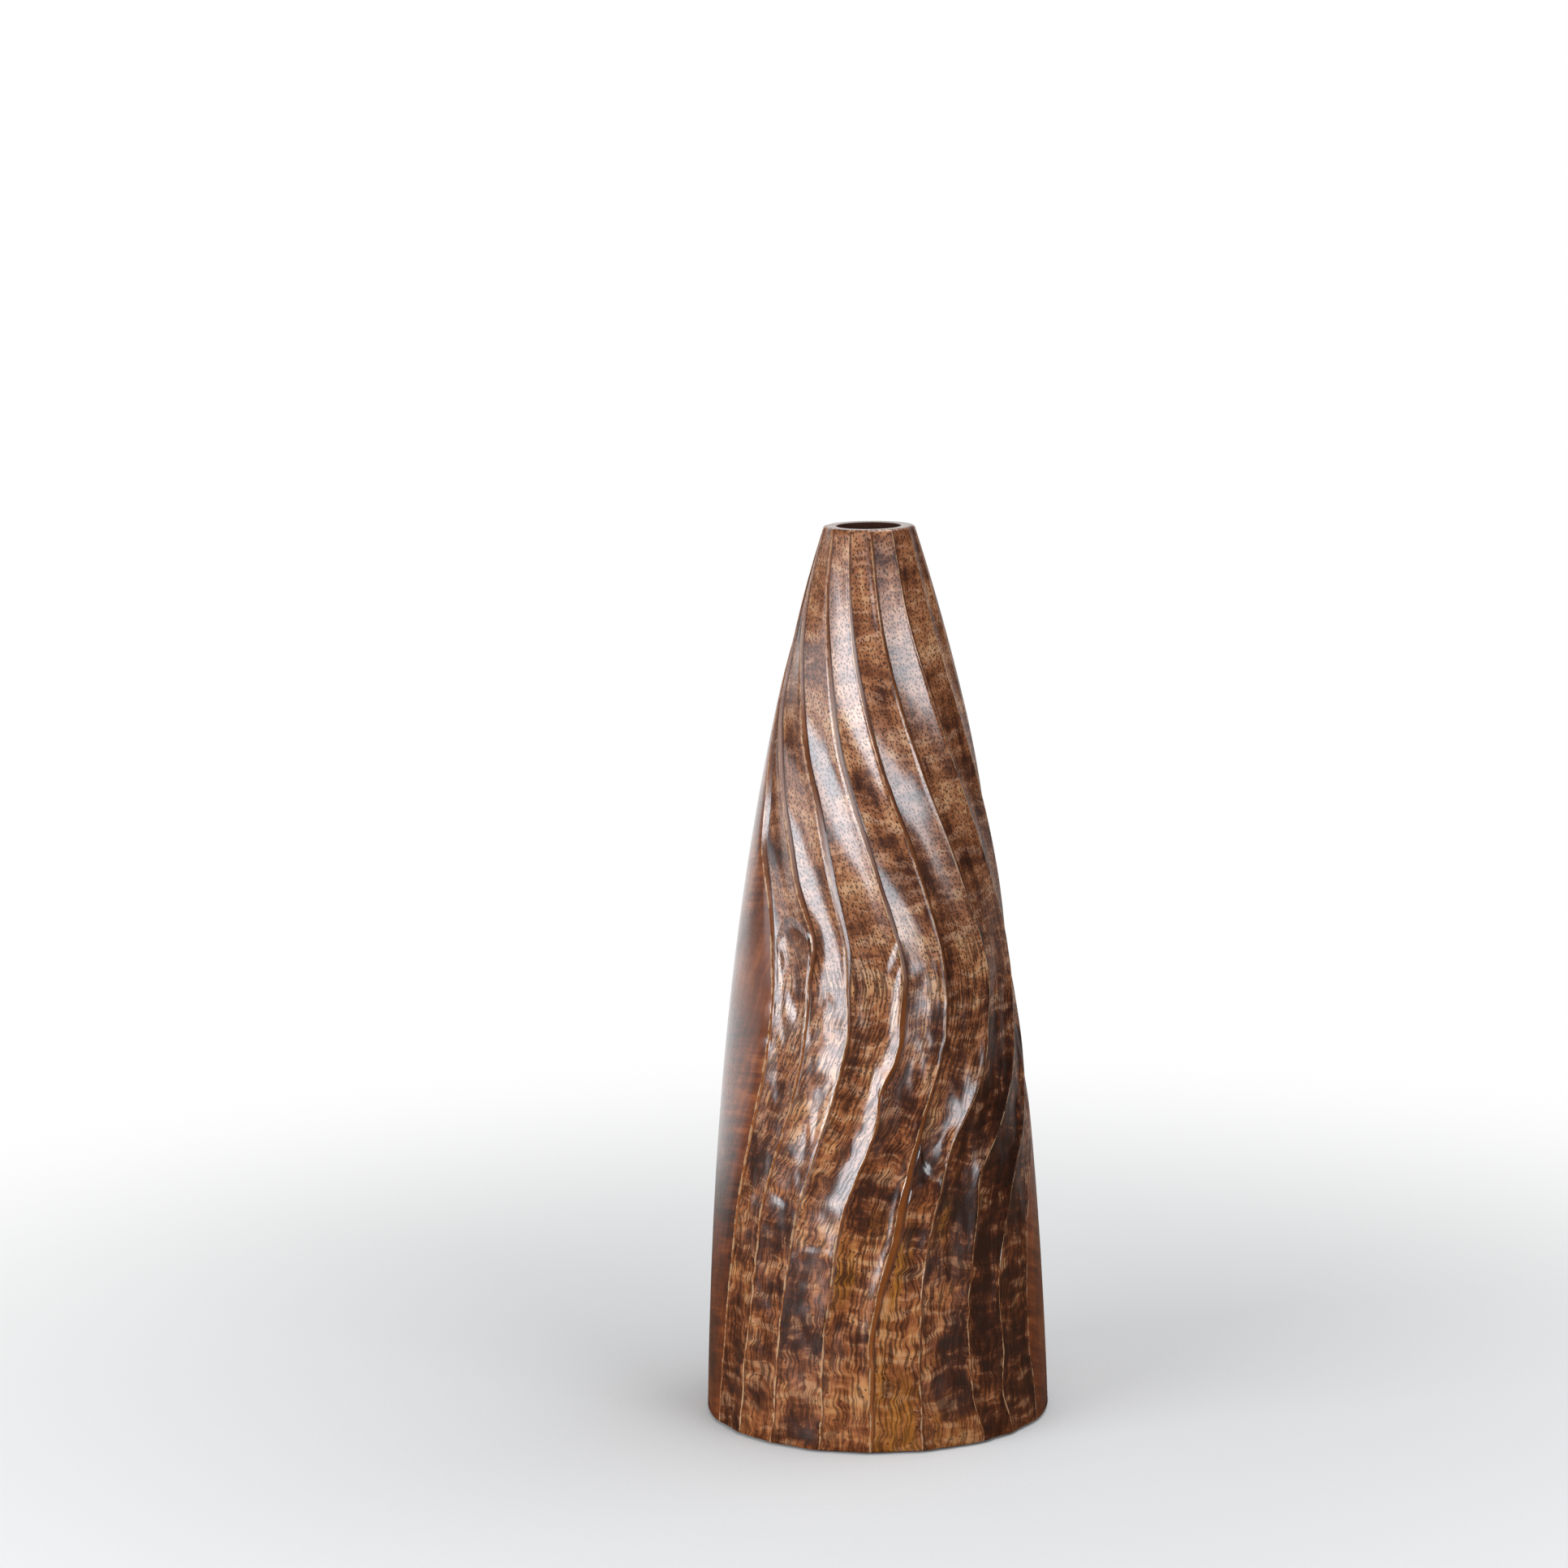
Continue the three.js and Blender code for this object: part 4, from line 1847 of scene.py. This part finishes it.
@dataclass(frozen=True)
class StudioPaper:
    """Pale matt floor round the object that runs out into the white background.

    To other rays than the camera's it is a dim brown, so that it throws little light up at the object.
    """

    pale: Colour = seen(229, 227, 224)
    white: Colour = seen(255, 255, 255)
    flagged: Colour = seen(96, 66, 44)
    roughness: float = 0.9
    tooth: Cloud = Cloud(900.0)
    tooth_share: Rise = (0.2, 0.8, 0.0, 0.12)
    relief: float = 0.05 * MM
    runs_out: Range = (0.16, 0.75)
    behind: Range = (0.15, 0.6)
    sideways: Rise = (-0.3, 0.3, 1.0, 0.2)

    def make(self) -> Material:
        """Mix the finish.

        Returns:
            The material.
        """
        bench = FinishBench("studio_paper")
        across, onward, _ = bench.split(bench.position)
        behind = bench.times(bench.fit(onward, *self.behind), bench.fit(across, *self.sideways))
        shown, sight = bench.shown_white(behind)
        tooth = bench.cloud(bench.position, self.tooth)
        paper = bench.mix(bench.fit(tooth, *self.tooth_share), self.pale, self.white)
        bench.wire(
            bench.shader, Base_Color=bench.mix(sight["Is Camera Ray"], self.flagged, paper),
            Roughness=self.roughness, Normal=bench.bump(tooth, self.relief),
        )
        far = bench.fit(bench.length(bench.position), *self.runs_out)
        blend = bench.node("ShaderNodeMixShader")
        bench.feed(blend.inputs[0], bench.times(far, shown))
        bench.feed(blend.inputs[1], bench.shader.outputs[0])
        bench.feed(blend.inputs[2], bench.node("ShaderNodeEmission").outputs[0])
        bench.wire(bench.output, Surface=blend.outputs[0])
        return bench.material


@dataclass(frozen=True)
class Softbox:
    """A rectangular studio lamp that looks at the middle of the vase."""

    name: str
    place: Point
    width: float
    height: float
    power: float
    target: Point = (0.0, 0.0, 0.2)
    colour: Point = (0.9, 0.94, 1.0)

    def hang(self) -> None:
        """Hang the lamp and aim it."""
        lamp = bpy.data.lights.new(self.name, "AREA")
        lamp.shape = "RECTANGLE"
        lamp.size = self.width
        lamp.size_y = self.height
        lamp.energy = self.power
        lamp.color = self.colour
        holder = bpy.data.objects.new(self.name, lamp)
        bpy.context.collection.objects.link(holder)
        holder.location = self.place
        aim = Vector(self.target) - Vector(self.place)
        holder.rotation_euler = aim.to_track_quat("-Z", "Y").to_euler()


@dataclass(frozen=True)
class PhotoCamera:
    """The camera of the photograph, found by fitting the vase's outline."""

    place: Point = (-0.0387, -2.0373, 0.6183)
    pitch: float = math.radians(9.28)
    roll: float = math.radians(-0.773)
    lens: float = 106.86
    sensor: float = 36.0

    def stand(self) -> None:
        """Stand the camera and make it the scene's own."""
        camera = bpy.data.cameras.new("photo_camera")
        camera.lens = self.lens
        camera.sensor_width = self.sensor
        camera.sensor_fit = "HORIZONTAL"
        holder = bpy.data.objects.new("photo_camera", camera)
        bpy.context.collection.objects.link(holder)
        turn = Matrix.Rotation(math.pi / 2 - self.pitch, 4, "X") @ Matrix.Rotation(self.roll, 4, "Z")
        holder.matrix_world = Matrix.Translation(self.place) @ turn
        bpy.context.scene.camera = holder


@dataclass(frozen=True)
class Studio:
    """Plain pale floor, white surroundings, soft lamps and the camera."""

    floor_radius: float = 3.0
    floor_sides: int = 96
    ambient: float = 0.28
    behind: Rise = (0.6, 0.9, 0.05, 1.0)
    sideways: Rise = (-0.4, 0.4, 1.0, 0.4)
    white: Colour = (1.0, 1.0, 1.0, 1.0)
    softboxes: tuple[Softbox, ...] = (
        Softbox("key_softbox", (-1.5, -1.17, 0.54), 1.45, 0.9, 30.0),
        Softbox("left_softbox", (-1.9, 0.1, 0.55), 0.9, 0.7, 3.0),
        Softbox("right_softbox", (1.14, -1.52, 0.66), 1.0, 0.75, 13.5),
        Softbox("top_softbox", (0.4, 0.0, 1.9), 1.4, 1.4, 20.0),
    )
    camera: PhotoCamera = PhotoCamera()
    paper: StudioPaper = StudioPaper()

    def build(self) -> None:
        """Lay the floor, light the scene and stand the camera."""
        bpy.ops.object.select_all(action="DESELECT")
        bpy.ops.mesh.primitive_circle_add(
            vertices=self.floor_sides, radius=self.floor_radius, fill_type="NGON"
        )
        floor = start_piece("studio_floor")
        floor.data.materials.append(self.paper.make())
        self.surround()
        for softbox in self.softboxes:
            softbox.hang()
        self.camera.stand()
        bpy.context.scene.view_settings.view_transform = "Standard"

    def surround(self) -> None:
        """Make the surroundings white to look at and a plain soft light otherwise."""
        world = bpy.data.worlds.new("white_studio")
        bpy.context.scene.world = world
        world.use_nodes = True
        world.node_tree.nodes.clear()
        bench = NodeBench(world.node_tree)
        across, onward, _ = bench.split(bench.node("ShaderNodeTexCoord").outputs["Generated"])
        behind = bench.times(bench.fit(onward, *self.behind), bench.fit(across, *self.sideways))
        shown, sight = bench.shown_white(behind)
        strength = bench.larger(shown, bench.times(sight["Is Diffuse Ray"], self.ambient))
        background = bench.wire(bench.node("ShaderNodeBackground"), Color=self.white, Strength=strength)
        bench.wire(bench.node("ShaderNodeOutputWorld"), Surface=background[0])


def main() -> None:
    """Build the studio and then the vase piece by piece round its frame."""
    logging.basicConfig(level=logging.INFO, format="%(name)s: %(message)s")
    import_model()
    Studio().build()
    fibre = WoodFibre().group()
    wear = EdgeWear().group()

    body_low, body_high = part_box(Node.CARVED_BODY.value)
    base_low, base_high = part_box(Node.BASE_DISC.value)
    felt_low, felt_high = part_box(Node.FELT_DISC.value)
    body = CarvedBody(foot_height=body_low[2], rim_height=body_high[2], ledge_height=base_high[2])
    body.dress(body.build(), LacqueredWood().make(fibre, wear))

    base = BaseDisc(Vector(base_low), Vector(base_high))
    base.dress(base.build(), TurnedWood().make(fibre, wear, base.radius))

    felt = FeltDisc(Vector(felt_low), Vector(felt_high))
    felt.dress(felt.build(), Felt().make())


if __name__ == "__main__":
    main()
